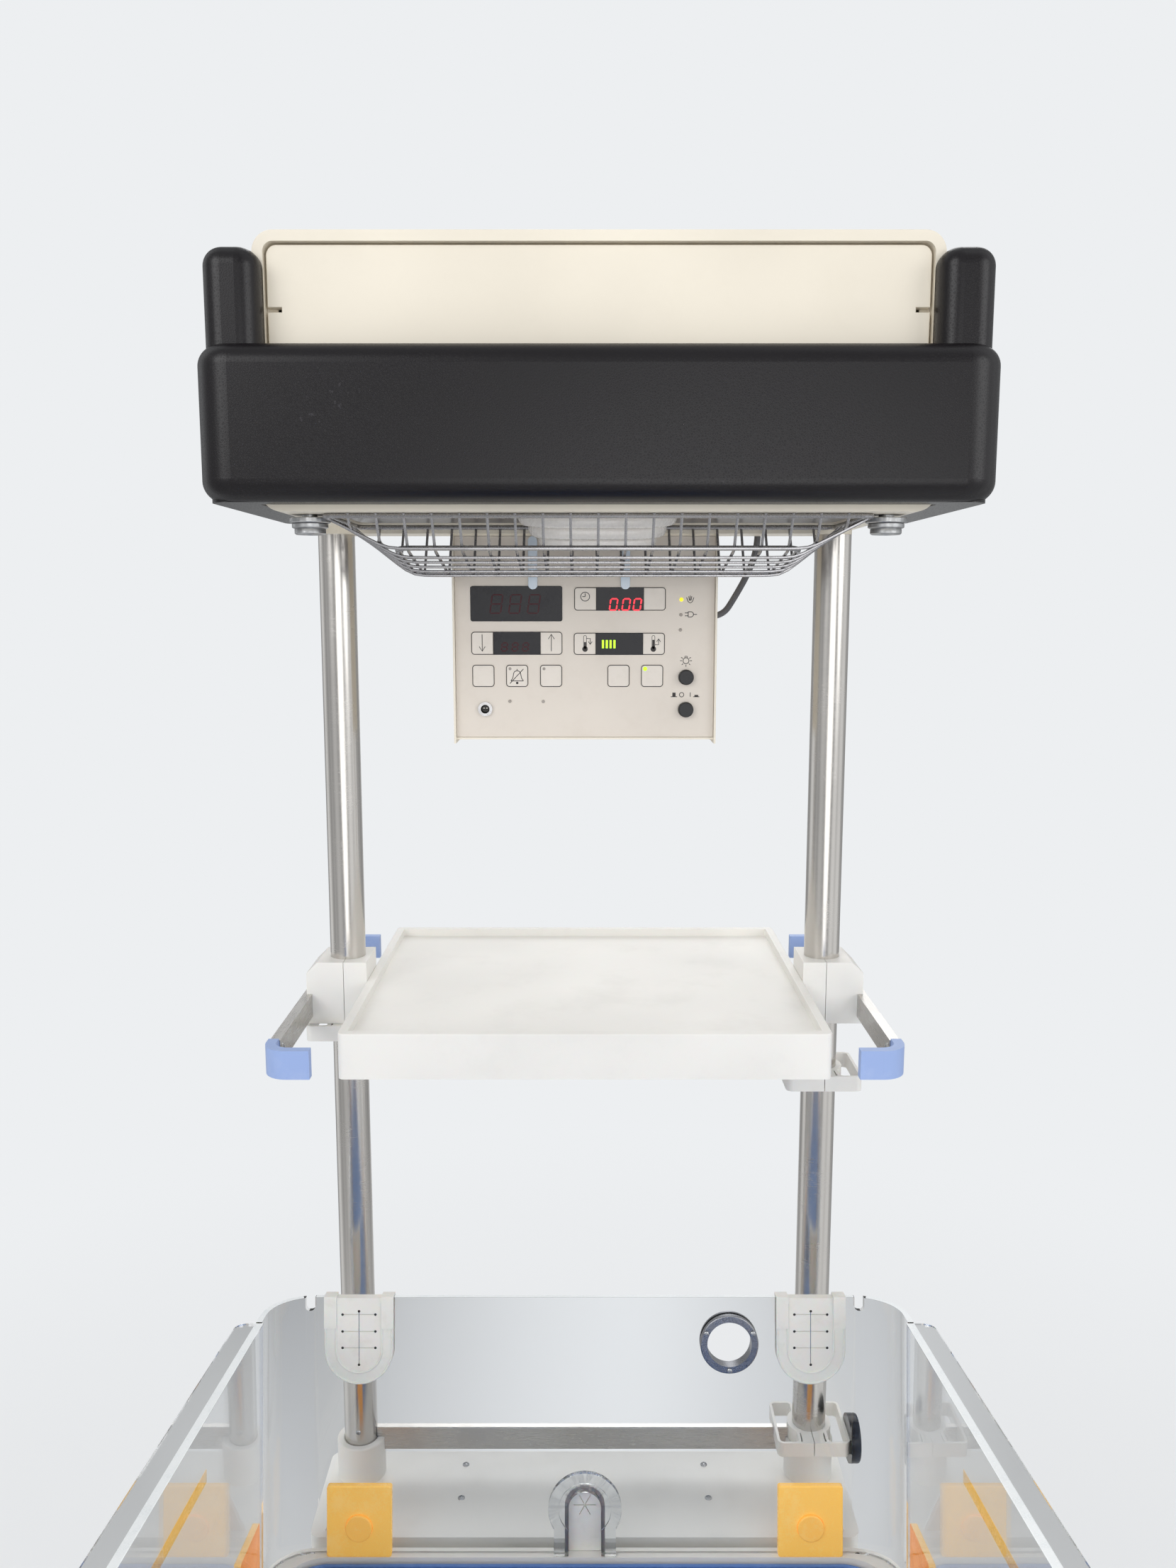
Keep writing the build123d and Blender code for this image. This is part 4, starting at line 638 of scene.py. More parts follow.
# Tinted acrylic display windows, glossy and nearly black
WINDOW = Finish(
    "tinted_window", "window_dark", "#100F16", mark="#201C27", marks=0.3, mark_size=30, gloss=(0.08, 0.18),
    grain=2.0, height=0.003, ior=1.33,
)
# Segments behind the window that aren't lit; their faint glow is painted light that keeps them just showing
DIM_SEGMENT = Finish(
    "unlit_segment_painted_glow", "window_dark", "#3C0E17", mark="#561520", marks=0.3, mark_size=4, gloss=(0.3, 0.4),
    grain=1.0, height=0.01, ior=1.33, glow=0.08,
)
# Light-emitting segments and lamps as they look when lit
RED_LIGHT = Finish(
    "red_lit_segment", "window_dark", "#FF2436", mark="#FFB4BA", marks=0.3, mark_size=3, gloss=(0.3, 0.4),
    grain=1.0, height=0.01, glow=1.3,
)
GREEN_LIGHT = Finish(
    "green_lit_bar", "window_dark", "#A8E81C", mark="#E4FF7A", marks=0.4, mark_size=3, gloss=(0.3, 0.4),
    grain=1.0, height=0.01, glow=1.2,
)
YELLOW_LIGHT = Finish(
    "yellow_lit_lamp", "yellow_plastic", "#F2E21A", mark="#FFF79A", marks=0.4, mark_size=2,
    gloss=(0.3, 0.4), grain=1.0, height=0.01, glow=1.1,
)
GREY_LENS = Finish(
    "unlit_lamp_lens", "white_plastic", "#A79F97", mark="#8C847D", marks=0.3, mark_size=2, gloss=(0.2, 0.3),
    grain=1.0, height=0.01,
)
# Pale blue clear tabs that hang over the windows
TAB = Finish(
    "pale_blue_clear_tab", "clear_plastic", "#D6E3F0", mark="#F0F5FA", marks=0.5, mark_size=10,
    gloss=(0.12, 0.22), grain=1.0, height=0.01,
)
# Cast acrylic walls: clear, wiped and scratched
ACRYLIC = Scuffed(
    "cast_acrylic_wall", "clear_plastic", "#FDFEFE", mark="#FFFFFF", marks=0.9, mark_size=60,
    gloss=(0.0, 0.01), grain=5.0, height=0.005, ior=1.38, clear=1.0,
)
# Sawn and flame-polished edge of the acrylic, which gathers light: its white colour and faint glow are
# painted light
ACRYLIC_EDGE_LIGHT = Finish(
    "acrylic_edge_painted_light", "clear_plastic", "#F4F7F8", mark="#CCD6DA", marks=0.5, mark_size=12,
    gloss=(0.16, 0.3), grain=1.2, height=0.03, glow=0.1,
)
# Translucent amber polycarbonate latches, and their lighter round keys; their faint glow is painted light,
# lifting them where the acrylic and the plastic shade them
AMBER = Finish(
    "amber_polycarbonate_painted_glow", "orange_plastic", "#FFC860", mark="#FFE09A", marks=0.45, mark_size=40,
    gloss=(0.2, 0.3), grain=1.5, height=0.02, coat=0.2, glow=0.22,
)
AMBER_KEY = Finish(
    "yellow_amber_key_painted_glow", "yellow_plastic", "#FFC35C", mark="#FFD48C", marks=0.4, mark_size=12,
    gloss=(0.2, 0.3), grain=1.2, height=0.02, coat=0.2, glow=0.2,
)
# Silicone rubber of the tube ports, off-white, soft and dull
SILICONE = Finish(
    "moulded_silicone", "silicone_white", "#EDEBE4", mark="#C9C4B8", marks=0.3, mark_size=18,
    gloss=(0.42, 0.55), grain=1.2, height=0.03, soft=0.25,
)
# Polyurethane-coated cloth of the mattress, blue, with a fine leather grain and a soft sheen
MATTRESS_CLOTH = Leathered(
    "coated_mattress_cloth", "mattress_blue", "#7399D6", mark="#9DB9E6", marks=0.35, mark_size=80,
    gloss=(0.42, 0.56), grain=2.4, height=0.10, sheen=0.2,
)
MATTRESS_PIPING = Leathered(
    "mattress_piping", "mattress_blue", "#5E84C4", mark="#8CA9DB", marks=0.3, mark_size=20,
    gloss=(0.4, 0.5), grain=1.6, height=0.06,
)
# Grey thermoplastic tyre tread, with dust in its grain
TYRE = Finish(
    "grey_tyre_rubber", "tyre_grey", "#6B6B6D", mark="#A7A29A", marks=0.5, mark_size=14, gloss=(0.55, 0.72),
    grain=1.0, height=0.08,
)
HUB = Finish(
    "grey_wheel_hub", "grey_paint", "#9A9B9C", mark="#77736C", marks=0.3, mark_size=14, gloss=(0.42, 0.55),
    grain=1.0, height=0.03,
)
# Glass-fibre circuit board with its green solder mask
BOARD = Finish(
    "green_solder_mask", "green_board", "#2F6A45", mark="#8FA866", marks=0.6, mark_size=3,
    gloss=(0.3, 0.45), grain=0.6, height=0.02,
)
# Soft vinyl sheath of the cable
SHEATH = Finish(
    "grey_cable_sheath", "black_plastic", "#5C5C60", mark="#808084", marks=0.3, mark_size=20,
    gloss=(0.3, 0.42), grain=0.8, height=0.02,
)
# Painted steel of the wheeled base, pale grey
BASE_COAT = Finish(
    "pale_grey_powder_coat", "grey_paint", "#DAD8D2", mark="#97928A", marks=0.2, mark_size=40,
    gloss=(0.36, 0.5), grain=1.6, height=0.05,
)

NODE_FINISHES: dict[Finish, tuple[str, ...]] = {
    CREAM: ("hood_shell", "hood_front_panel", "control_case", "mast_beam", "bed_carrier"),
    BASE_COAT: ("chassis",),
    WHITE_COAT: ("deck_plate", "lift_outer"),
    WHITE_ABS: ("column_sockets", "tray", "rail_clamps", "cable_clips", "bed_tub"),
    BLUE_NYLON: ("rail_caps",),
    GROUND_STEEL: ("columns", "lift_inner"),
    BRUSHED_X: ("cross_bar",),
    BRUSHED_Y: ("side_rails",),
    ZINC: ("caster_fork_front_left", "caster_fork_front_right", "caster_fork_rear_left",
           "caster_fork_rear_right"),
    SOCKET_CHROME: ("sensor_socket",),
    TURNED_RING: ("round_port",),
    REFLECTOR: ("reflector",),
    FOAM_SKIN: ("hood_bumper",),
    BLACK_MOULDED: ("lamp_button", "power_button", "clip_knob", "foot_pedal", "caster_brake_front_left",
                    "caster_brake_front_right"),
    PANEL_FOIL: ("control_panel",),
    BOARD: ("control_electronics",),
    ACRYLIC: ("panel_back", "panel_front", "panel_left", "panel_right", "tube_holder"),
    AMBER: ("latches_back", "latches_front", "latches_left", "latches_right"),
    AMBER_KEY: ("latch_buttons_back", "latch_buttons_front", "latch_buttons_left", "latch_buttons_right"),
    SILICONE: ("tube_ports",),
}


# ---------------------------------------------------------------- pieces

# Points nearer than the first are one, edges shorter than the second go (m), and sharper bends stay corners
ONE_POINT = 2e-6
NO_EDGE = 1e-7
CORNER = radians(35)


def settle(skin: Skin, name: str, finish: Finish, body: str, replaced: Sequence[str] = (),
           smooth: bool = True) -> bpy.types.Object:
    """Make an object of a surface, dress it and let it ride on its body.

    Args:
        skin: Its points and faces in metres.
        name: The piece's name.
        finish: Its finish.
        body: The body that it moves with.
        replaced: The CAD nodes that it stands for.
        smooth: Whether it is shaded as a curved surface, up to corners of 35 degrees.

    Returns:
        The object, at the origin, with its doubles merged and its faces outwards.
    """
    mesh = bpy.data.meshes.new(name)
    mesh.from_pydata(skin.points.tolist(), [], skin.faces.tolist())
    shaped = bmesh.new()
    shaped.from_mesh(mesh)
    bmesh.ops.remove_doubles(shaped, verts=shaped.verts, dist=ONE_POINT)
    bmesh.ops.dissolve_degenerate(shaped, edges=shaped.edges, dist=NO_EDGE)
    bmesh.ops.recalc_face_normals(shaped, faces=shaped.faces)
    shaped.to_mesh(mesh)
    shaped.free()
    if smooth:
        mesh.polygons.foreach_set("use_smooth", np.ones(len(mesh.polygons), bool))
        mesh.set_sharp_from_angle(angle=CORNER)
    made = bpy.data.objects.new(name, mesh)
    bpy.context.scene.collection.objects.link(made)
    mesh.materials.append(finish.material())
    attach(made, body)
    if replaced:
        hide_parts(*replaced)
    log.info("%s: %d faces on %s", name, len(mesh.polygons), body)
    return made


@dataclass
class Studio:
    """The pale floor and backdrop, the soft lamps, and the camera where the photograph was taken."""

    camera_y: float = -962.9
    camera_z: float = 1833.0
    pitch: float = 8.25
    lens: float = 28.44
    sensor: float = 36.0
    shift: float = 0.002
    near: float = 0.01
    far: float = 60.0
    paper: str = "#EDEFF1"
    sky: str = "#F6F7F8"
    glow: float = 0.56
    floor: tuple[str, str] = ("#EFF0F1", "#F3F4F5")
    floor_half: float = 14.0
    fade: tuple[float, float] = (0.7, 3.2)
    aim: tuple[float, float, float] = (0.0, 0.1, 1.2)
    # Place and size of each lamp in metres, and its power in watts
    lamps: tuple = (
        (-2.2, -2.6, 3.4, 2.6, 54.0), (2.6, -1.8, 2.6, 2.2, 26.0),
        (0.3, 2.6, 3.2, 2.6, 28.0), (0.5, -3.4, 1.5, 2.4, 26.0),
    )

    def build(self) -> None:
        """Make the camera, then the light, then the floor."""
        scene = bpy.context.scene
        lens = bpy.data.cameras.new("photo_camera")
        lens.lens, lens.sensor_width, lens.shift_x = self.lens, self.sensor, self.shift
        lens.clip_start, lens.clip_end = self.near, self.far
        camera = bpy.data.objects.new("photo_camera", lens)
        camera.location = (0, self.camera_y * MM, self.camera_z * MM)
        camera.rotation_euler = (radians(90 - self.pitch), 0, 0)
        scene.collection.objects.link(camera)
        scene.camera = camera
        scene.view_settings.view_transform = "Standard"
        for number, (x, y, z, size, power) in enumerate(self.lamps):
            light = bpy.data.lights.new(f"soft_lamp_{number}", "AREA")
            light.shape, light.size, light.energy = "DISK", size, power
            lamp = bpy.data.objects.new(light.name, light)
            lamp.location = (x, y, z)
            aim = np.array(self.aim) - np.array((x, y, z))
            lamp.rotation_euler = (np.arctan2(np.hypot(*aim[:2]), -aim[2]), 0, np.arctan2(-aim[0], aim[1]))
            scene.collection.objects.link(lamp)
        self.light_world(scene)
        self.lay_floor()

    def light_world(self, scene: bpy.types.Scene) -> None:
        """Give the world an even glow, and a paper-coloured look to the eye, gloss and glass.

        Args:
            scene: The scene whose world is made.
        """
        world = bpy.data.worlds.new("studio")
        world.use_nodes = True
        scene.world = world
        tree = world.node_tree
        tree.nodes.clear()
        way = add_node(tree, "ShaderNodeTexCoord").outputs["Generated"]
        seen, strength = self.paper_seen(tree, way)
        glow = add_node(tree, "ShaderNodeBackground", {"Color": linear(self.sky), "Strength": self.glow})
        paper = add_node(tree, "ShaderNodeBackground", {"Color": linear(self.paper), "Strength": strength})
        mixed = add_node(tree, "ShaderNodeMixShader", {0: seen, 1: glow.outputs[0], 2: paper.outputs[0]})
        add_node(tree, "ShaderNodeOutputWorld", {"Surface": mixed.outputs[0]})

    def paper_seen(self, tree: bpy.types.NodeTree,
                   way: bpy.types.NodeSocket) -> tuple[bpy.types.NodeSocket, bpy.types.NodeSocket]:
        """Tell rays that look at the paper from light that falls on something.

        Args:
            tree: The nodes of the world or the floor.
            way: The direction from the object; its upright bands show in bare metal as a studio's walls do.

        Returns:
            1 for a camera, glass or mirror ray and 0 for others, and the paper's strength, 1 but in metal.
        """
        path = add_node(tree, "ShaderNodeLightPath")
        eye = add_node(tree, "ShaderNodeMath", {
            0: path.outputs["Is Camera Ray"], 1: path.outputs["Is Transmission Ray"]}, operation="MAXIMUM")
        seen = add_node(tree, "ShaderNodeMath", {
            0: eye.outputs[0], 1: path.outputs["Is Glossy Ray"]}, operation="MAXIMUM")
        flat = add_node(tree, "ShaderNodeMapping", {"Vector": way, "Scale": (1, 1, 0)})
        level = add_node(tree, "ShaderNodeVectorMath", {0: flat.outputs[0]}, operation="NORMALIZE")
        bands = add_node(tree, "ShaderNodeTexNoise", {
            "Vector": level.outputs[0], "Scale": 1.7, "Detail": 1.0})
        strength = add_node(tree, "ShaderNodeMapRange", {
            "Value": bands.outputs[0], "From Min": 0.36, "From Max": 0.6, "To Min": 0.4, "To Max": 1.05})
        chosen = add_node(tree, "ShaderNodeMix", {
            0: path.outputs["Is Glossy Ray"], 2: 1.0, 3: strength.outputs[0]})
        return seen.outputs[0], chosen.outputs[0]

    def lay_floor(self) -> None:
        """Lay a plain pale floor that keeps the object's shadow and fades into the backdrop far away."""
        corner = np.array([(-1, -1, 0), (1, -1, 0), (1, 1, 0), (-1, 1, 0)], float) * self.floor_half
        mesh = bpy.data.meshes.new("floor")
        mesh.from_pydata(corner.tolist(), [], [(0, 1, 2, 3)])
        made = bpy.data.materials.new("floor_paper")
        made.use_nodes = True
        tree = made.node_tree
        shader = tree.nodes["Principled BSDF"]
        place = add_node(tree, "ShaderNodeTexCoord").outputs["Object"]
        cloud = add_node(tree, "ShaderNodeTexNoise", {"Vector": place, "Scale": 1.5})
        grey, pale = map(linear, self.floor)
        colour = add_node(tree, "ShaderNodeMix", {0: cloud.outputs[0], 6: grey, 7: pale}, data_type="RGBA")
        tree.links.new(colour.outputs[2], shader.inputs["Base Color"])
        shader.inputs["Roughness"].default_value = 0.8
        seen, strength = self.paper_seen(tree, place)
        away = add_node(tree, "ShaderNodeVectorMath", {0: place}, operation="LENGTH")
        fade = add_node(tree, "ShaderNodeMapRange", {
            "Value": away.outputs["Value"], "From Min": self.fade[0], "From Max": self.fade[1],
            "To Min": 0.35, "To Max": 1.0}, interpolation_type="SMOOTHSTEP")
        share = add_node(tree, "ShaderNodeMath", {0: seen, 1: fade.outputs[0]}, operation="MULTIPLY")
        paper = add_node(tree, "ShaderNodeEmission", {"Color": linear(self.paper), "Strength": strength})
        mixed = add_node(tree, "ShaderNodeMixShader", {
            0: share.outputs[0], 1: shader.outputs[0], 2: paper.outputs[0]})
        tree.links.new(mixed.outputs[0], tree.nodes["Material Output"].inputs["Surface"])
        mesh.materials.append(made)
        floor = bpy.data.objects.new("floor", mesh)
        bpy.context.scene.collection.objects.link(floor)


@dataclass
class Heater:
    """What shows below the hood: the ribbed heater, the exam lamps, the wire guard and two knobs."""

    rim: tuple[float, float] = (246.0, 88.5)
    rim_y: float = -117.5
    face: tuple[float, float] = (183.0, 58.0)
    face_y: float = -123.0
    drops: tuple[float, float] = (32.0, 51.0)
    columns: int = 20
    rows: int = 8
    wire: float = 1.4
    wire_steps: tuple[int, int] = (44, 60)
    lap: float = 1.6
    rod: float = 2.4
    rim_corner: float = 10.0
    face_corner: float = 12.0
    blend: float = 14.0
    around: int = 96
    ribs: int = 4
    rib_height: float = 11.0
    bulge: float = 2.6
    heater_half: tuple[float, float] = (88.0, 52.0)
    heater_step: tuple[float, float] = (11.0, 8.0)
    roof: float = 18.0
    tilt: float = 9.5
    turned: int = 72
    lamp_x: float = 158.0
    lamp_gap: float = 1.5
    bowl: tuple[float, float] = (40.0, 50.0)
    sheet: float = 2.0
    flange: float = 8.0
    facets: int = 9
    facet: float = 0.02
    # Radius and height of the bulb, then of the knob, along their profiles
    bulb: tuple = ((0.01, 50), (5, 49), (6, 44), (10, 36), (12, 31), (11, 26), (7, 22), (0.01, 20))
    glass: float = 38.5
    glass_heights: tuple[float, float] = (5.0, 2.2)
    ripple: float = 0.5
    knob_x: float = 261.0
    knob_y: float = -176.0
    knob: tuple = (
        (0.01, 0), (7, 0), (7, -2.5), (17.6, -2.5), (18.5, -3.2), (18.5, -6.6), (17.6, -7.4), (15, -7.6),
        (16.2, -8.2), (16.2, -11.2), (15, -12), (13.6, -12.2), (14, -13), (14, -16.4), (12.6, -17.6),
        (6, -17.8), (5.4, -17), (0.01, -17),
    )
    # The knob's rows that are knurled, from the first to before the last
    knurled: tuple[int, int] = (4, 7)
    knurl: float = 0.02
    knurls: int = 12

    def drop(self, x: Array, y: Array) -> Array:
        """Give how far the guard hangs below the hood.

        The least of four slopes and the sloping bottom, blended so that the wires bend and don't kink:
        (sum of each to the power -14) to the power -1/14.

        Args:
            x, y: Places in the hood's axes.

        Returns:
            The depth at each place, 0 at the rim.
        """
        low, high = self.drops
        share = np.clip((y - self.face_y + self.face[1]) / (2 * self.face[1]), -0.4, 1.4)
        bottom = low + (high - low) * share
        front, back = self.rim_y - self.rim[1], self.rim_y + self.rim[1]
        slopes = (
            bottom,
            bottom * (self.rim[0] - np.abs(x)) / (self.rim[0] - self.face[0]),
            low * (y - front) / (self.face_y - self.face[1] - front),
            high * (back - y) / (back - self.face_y - self.face[1]),
        )
        slopes = np.clip(np.stack(np.broadcast_arrays(*slopes)), 1e-3, None)
        return np.sum(slopes ** -self.blend, 0) ** (-1 / self.blend)

    def build(self) -> None:
        """Build and dress each piece."""
        self.build_guard()
        self.build_heater()
        self.build_lamps()
        self.build_knobs()

    def build_guard(self) -> None:
        """Weld the guard: wires across and along at even steps, with a thicker rod round rim and bottom."""
        bars = []
        along, across = self.wire_steps
        front, back = self.rim_y - self.rim[1], self.rim_y + self.rim[1]
        for x in np.linspace(-self.rim[0], self.rim[0], self.columns + 1)[1:-1]:
            y = front + (back - front) * (1 - np.cos(np.linspace(0, pi, along))) / 2
            path = np.stack([np.full_like(y, x), y, -self.drop(np.full_like(y, x), y)], -1)
            bars.append(piped(path, self.wire, (1, 0, 0), 6))
        for y in np.linspace(front, back, self.rows + 1)[1:-1]:
            x = self.rim[0] * -np.cos(np.linspace(0, pi, across))
            depth = self.drop(x, np.full_like(x, y)) + self.lap * self.wire
            path = np.stack([x, np.full_like(x, y), -depth], -1)
            bars.append(piped(path, self.wire, (0, 1, 0), 6))
        rim = rounded(self.rim[0] - self.rod, self.rim[1] - self.rod, self.rim_corner, self.around)
        rim = np.column_stack([rim + (0, self.rim_y), np.full(self.around, -self.rod)])
        bars.append(piped(rim, self.rod, (0, 0, 1), 10, loop=True))
        foot = rounded(*self.face, self.face_corner, self.around) + (0, self.face_y)
        share = (foot[:, 1] - self.face_y + self.face[1]) / (2 * self.face[1])
        depth = self.drops[0] + (self.drops[1] - self.drops[0]) * share - self.rod
        bars.append(piped(np.column_stack([foot, -depth]), self.rod, (0, 0, 1), 10, loop=True))
        settle(Skin.placed(HOOD, bars), "welded_wire_guard", NICKEL_WIRE, "carriage", ["wire_guard"])

    def build_heater(self) -> None:
        """Cast the heater: a stadium outline stepped in under each rib, every rib a rounded bulge."""
        turn = np.linspace(0, 1, 12)
        bulge = self.bulge * np.sqrt(np.clip(1 - (2 * turn - 1) ** 2, 0, 1)) - self.bulge
        profile = np.concatenate([
            np.column_stack([-bulge + rib * self.heater_step[1], -(rib + turn) * self.rib_height])
            for rib in range(self.ribs)
        ])
        half_x, half_y = self.heater_half
        grid = carried(half_x, half_y, half_y, profile, self.around)
        taper = (self.heater_step[0] - self.heater_step[1]) / half_x
        grid[..., 0] *= 1 + taper * grid[..., 2] / self.rib_height
        seat = HOOD.seen(Facing.UP, 0, self.rim_y, self.roof).tipped(-self.tilt)
        points = seat.world(grid)
        points[..., 2] = np.minimum(points[..., 2], HOOD.world(np.array([0, 0, self.roof]))[2])
        settle(Skin.grid(points), "ribbed_ceramic_heater", CERAMIC, "carriage", ["heater_block"])

    def build_lamps(self) -> None:
        """Make both exam lamps: a faceted bowl, a bulb and a ribbed glass front.

        The bowl's radius is its width times the root of 1 - 0.8 s at the share s of its depth, and its
        facets are 1 less a small part of the size of a cosine. The glass is flat behind and waved in front.
        """
        wide, deep = self.bowl
        behind, before = self.glass_heights
        angle = np.arange(self.turned) * 2 * pi / self.turned
        depth = np.linspace(0, 1, 20)
        radius = wide * np.sqrt(1 - 0.8 * depth)
        facet = 1 - self.facet * np.abs(np.cos(self.facets * angle))
        bowl = np.stack([np.outer(radius, facet * np.cos(angle)), np.outer(radius, facet * np.sin(angle)),
                         np.outer(depth * deep, np.ones(self.turned))], -1)
        outside = spun([(0.01, deep), (0.01, deep + self.sheet), (wide / 2, deep + self.sheet),
                        (wide + self.sheet, self.sheet), (wide + self.flange, self.sheet),
                        (wide + self.flange, 0), (wide, 0)], self.turned)
        across = self.glass * (1 - np.linspace(0, 1, 24))[:-1]
        flat = np.column_stack([across[::-1], np.full(len(across), behind)])
        waved = np.column_stack([across, before + self.ripple * np.cos(2 * across)])
        front = np.vstack([[(0.01, behind)], flat, waved, [(0.01, before + self.ripple)]])
        seats = [HOOD.seen(Facing.UP, hand * self.lamp_x, self.rim_y, self.roof + self.lamp_gap)
                 for hand in (-1, 1)]
        for name, grid, finish, replaced in (
            ("lamp_bowls", np.vstack([bowl, outside]), REFLECTOR, ["exam_lamps"]),
            ("lamp_bulbs", spun(self.bulb, 32), LAMP_GLASS, []),
            ("lamp_fronts", spun(front, 48), LAMP_GLASS, []),
        ):
            skin = Skin.join([Skin.placed(seat, [grid]) for seat in seats])
            settle(skin, name, finish, "carriage", replaced)

    def build_knobs(self) -> None:
        """Turn both clamping knobs: a washer, a knurled step, a flanged nut and a bolt end."""
        angle = np.arange(self.turned) * 2 * pi / self.turned
        depth = np.zeros(len(self.knob))
        depth[slice(*self.knurled)] = self.knurl
        grid = spun(self.knob, self.turned)
        grid[..., :2] *= (1 - np.outer(depth, np.abs(np.sin(self.knurls * angle))))[..., None]
        seats = [HOOD.seen(Facing.UP, hand * self.knob_x, self.knob_y, 0) for hand in (-1, 1)]
        knobs = Skin.join([Skin.placed(seat, [grid]) for seat in seats])
        settle(knobs, "stepped_clamp_knobs", ZINC, "carriage", ["hood_knobs"])


@dataclass
class ControlFace:
    """What is printed, lit and glazed on the front of the control box, in the box's x and height."""

    face: float = -1.5
    glaze: float = 0.9
    # Middle, width and height of each window, then of each window with the keys on its sides
    windows: tuple = ((-71.3, 141.7, 95.7, 36.5), (36.4, 146.6, 49.3, 24.1), (-70.9, 100.8, 48.7, 23.9),
                      (36.0, 100.2, 48.9, 23.0))
    pairs: tuple = ((36.5, 146.6, 95.2, 24.1), (-71.1, 100.8, 95.2, 23.9), (36.0, 100.2, 95.2, 23.0))
    # Places of the keys of the lower row, of the tabs, and middle and radius of each small lamp
    keys: tuple = (-106.4, -71.0, -35.4, 35.3, 70.5)
    key_z: float = 66.8
    key_side: float = 23.2
    line: float = 0.8
    tabs: tuple = (-54.0, 42.0)
    lamps: tuple = ((100.4, 146.0, 1.9), (100.1, 130.2, 1.7), (99.7, 114.6, 1.7), (-78.8, 40.1, 1.7),
                    (-43.8, 39.9, 1.7), (-78.4, 74.2, 1.6), (-42.8, 74.2, 1.6), (63.1, 74.2, 2.2))
    key_rise: float = 0.68
    key_gap: float = 1.6
    key_corner: float = 2.8
    # Place, width and corner of the two keys beside a window
    pair_key: tuple[float, float, float] = (36.2, 21.4, 2.4)
    split: float = 24.6
    window_corners: tuple[float, ...] = (2.4, 0.4, 0.4, 0.4)
    window_rise: float = 0.8
    lens_rise: tuple[float, float] = (0.5, 0.7)
    tab: tuple[float, float, float] = (4.8, 27.1, 4.6)
    tab_z: float = 183.6
    tab_profile: tuple = ((0.5, 0.9), (0, 1.3), (0, 2.3), (0.5, 2.8))
    # How far the ink stands off the panel and off the keys
    ink_lift: tuple[float, float] = (0.06, 0.05)
    stroke: float = 0.75
    # Gap, pointed end, half thickness, tip and slant of a digit's segment
    segment: tuple[float, float, float, float, float] = (0.35, 0.8, 0.75, 0.05, 0.14)
    # The digits' places along the panel, their height on it, and the width and height of one
    timer: tuple = ((29.9, 43.0, 54.6), 140.9, 7.2, 11.6)
    readings: tuple = (((-92.0, -72.5, -53.0), 141.4, 11.0, 19.0), ((-84.0, -73.0, -62.0), 97.0, 5.6, 8.4))
    dot: tuple = ((35.0, 135.3), (36.3, 135.3), 1.3)
    bars: tuple = ((18.9, 22.9, 26.9, 30.9), (95.6, 104.2), 2.2)
    lamp_sign: tuple[float, float] = (105.9, 82.6)
    rays: tuple[float, float] = (4.2, 6.2)
    socket: tuple[float, float] = (-104.8, 32.0)
    insert: tuple = ((0.01, -3.0), (3.6, -3.0), (4.4, -3.6))
    # Half width, half height and corner of a contact, then its place from the socket's middle
    contact: tuple[float, float, float] = (1.05, 0.55, 0.5)
    contact_place: tuple[float, float, float] = (1.5, 0.7, -3.0)
    ink: list = field(default_factory=list)
    key_ink: list = field(default_factory=list)

    def sheet(self, shapes: Sequence[Array], lift: float) -> Skin:
        """Put flat shapes on the panel.

        Args:
            shapes: Grids of points in the panel's right and up, with a height of their own.
            lift: How far they stand off the panel.

        Returns:
            One surface with every shape.
        """
        seat = BOX.seen(Facing.AHEAD, 0, -self.face, 0)
        return Skin.placed(seat, [shape + (0, 0, lift) for shape in shapes], wrap=False)

    def frame(self, x: float, z: float, width: float, height: float, radius: float = 3.6) -> Array:
        """Give a printed line round a rounded rectangle, as the ground between two outlines.

        Args:
            x, z: Its middle on the panel.
            width, height, radius: Its outer size and corner.

        Returns:
            A grid of two rows of points, the outer and the inner outline, each closed.
        """
        inner = 2 * self.line
        rings = rounded(np.array([width, width - inner]) / 2, np.array([height, height - inner]) / 2,
                        np.array([radius, radius - self.line]), 64)
        rings = np.concatenate([rings, rings[:, :1]], 1) + (x, z)
        return np.concatenate([rings, np.zeros(rings.shape[:2] + (1,))], -1)

    def dome(self, x: float, z: float, width: float, height: float, radius: float, rise: float) -> Array:
        """Give a low raised plate with softened edges, from the panel up."""
        profile = [(0, 0), (0, rise * 0.6), (rise * 0.15, rise * 0.85), (rise * 0.5, rise)]
        return carried(width / 2, height / 2, radius, np.array(profile), 48) + (x, z, 0)

    def build(self) -> None:
        """Build each group of pieces."""
        seat = BOX.seen(Facing.AHEAD, 0, -self.face, 0)
        plates = [self.dome(*window, corner, self.window_rise)
                  for window, corner in zip(self.windows, self.window_corners)]
        settle(Skin.placed(seat, plates), "display_windows", WINDOW, "carriage", ["control_windows"],
               smooth=False)
        self.build_keys(seat)
        self.build_lamps(seat)
        self.build_tabs(seat)
        self.build_segments()
        self.draw_signs()
        low, high = self.ink_lift
        signs = [self.sheet(self.ink, low), self.sheet(self.key_ink, self.key_rise + high)]
        settle(Skin.join(signs), "printed_signs", PRINT_INK_AND_SHADE, "carriage", smooth=False)
        self.build_socket(seat)

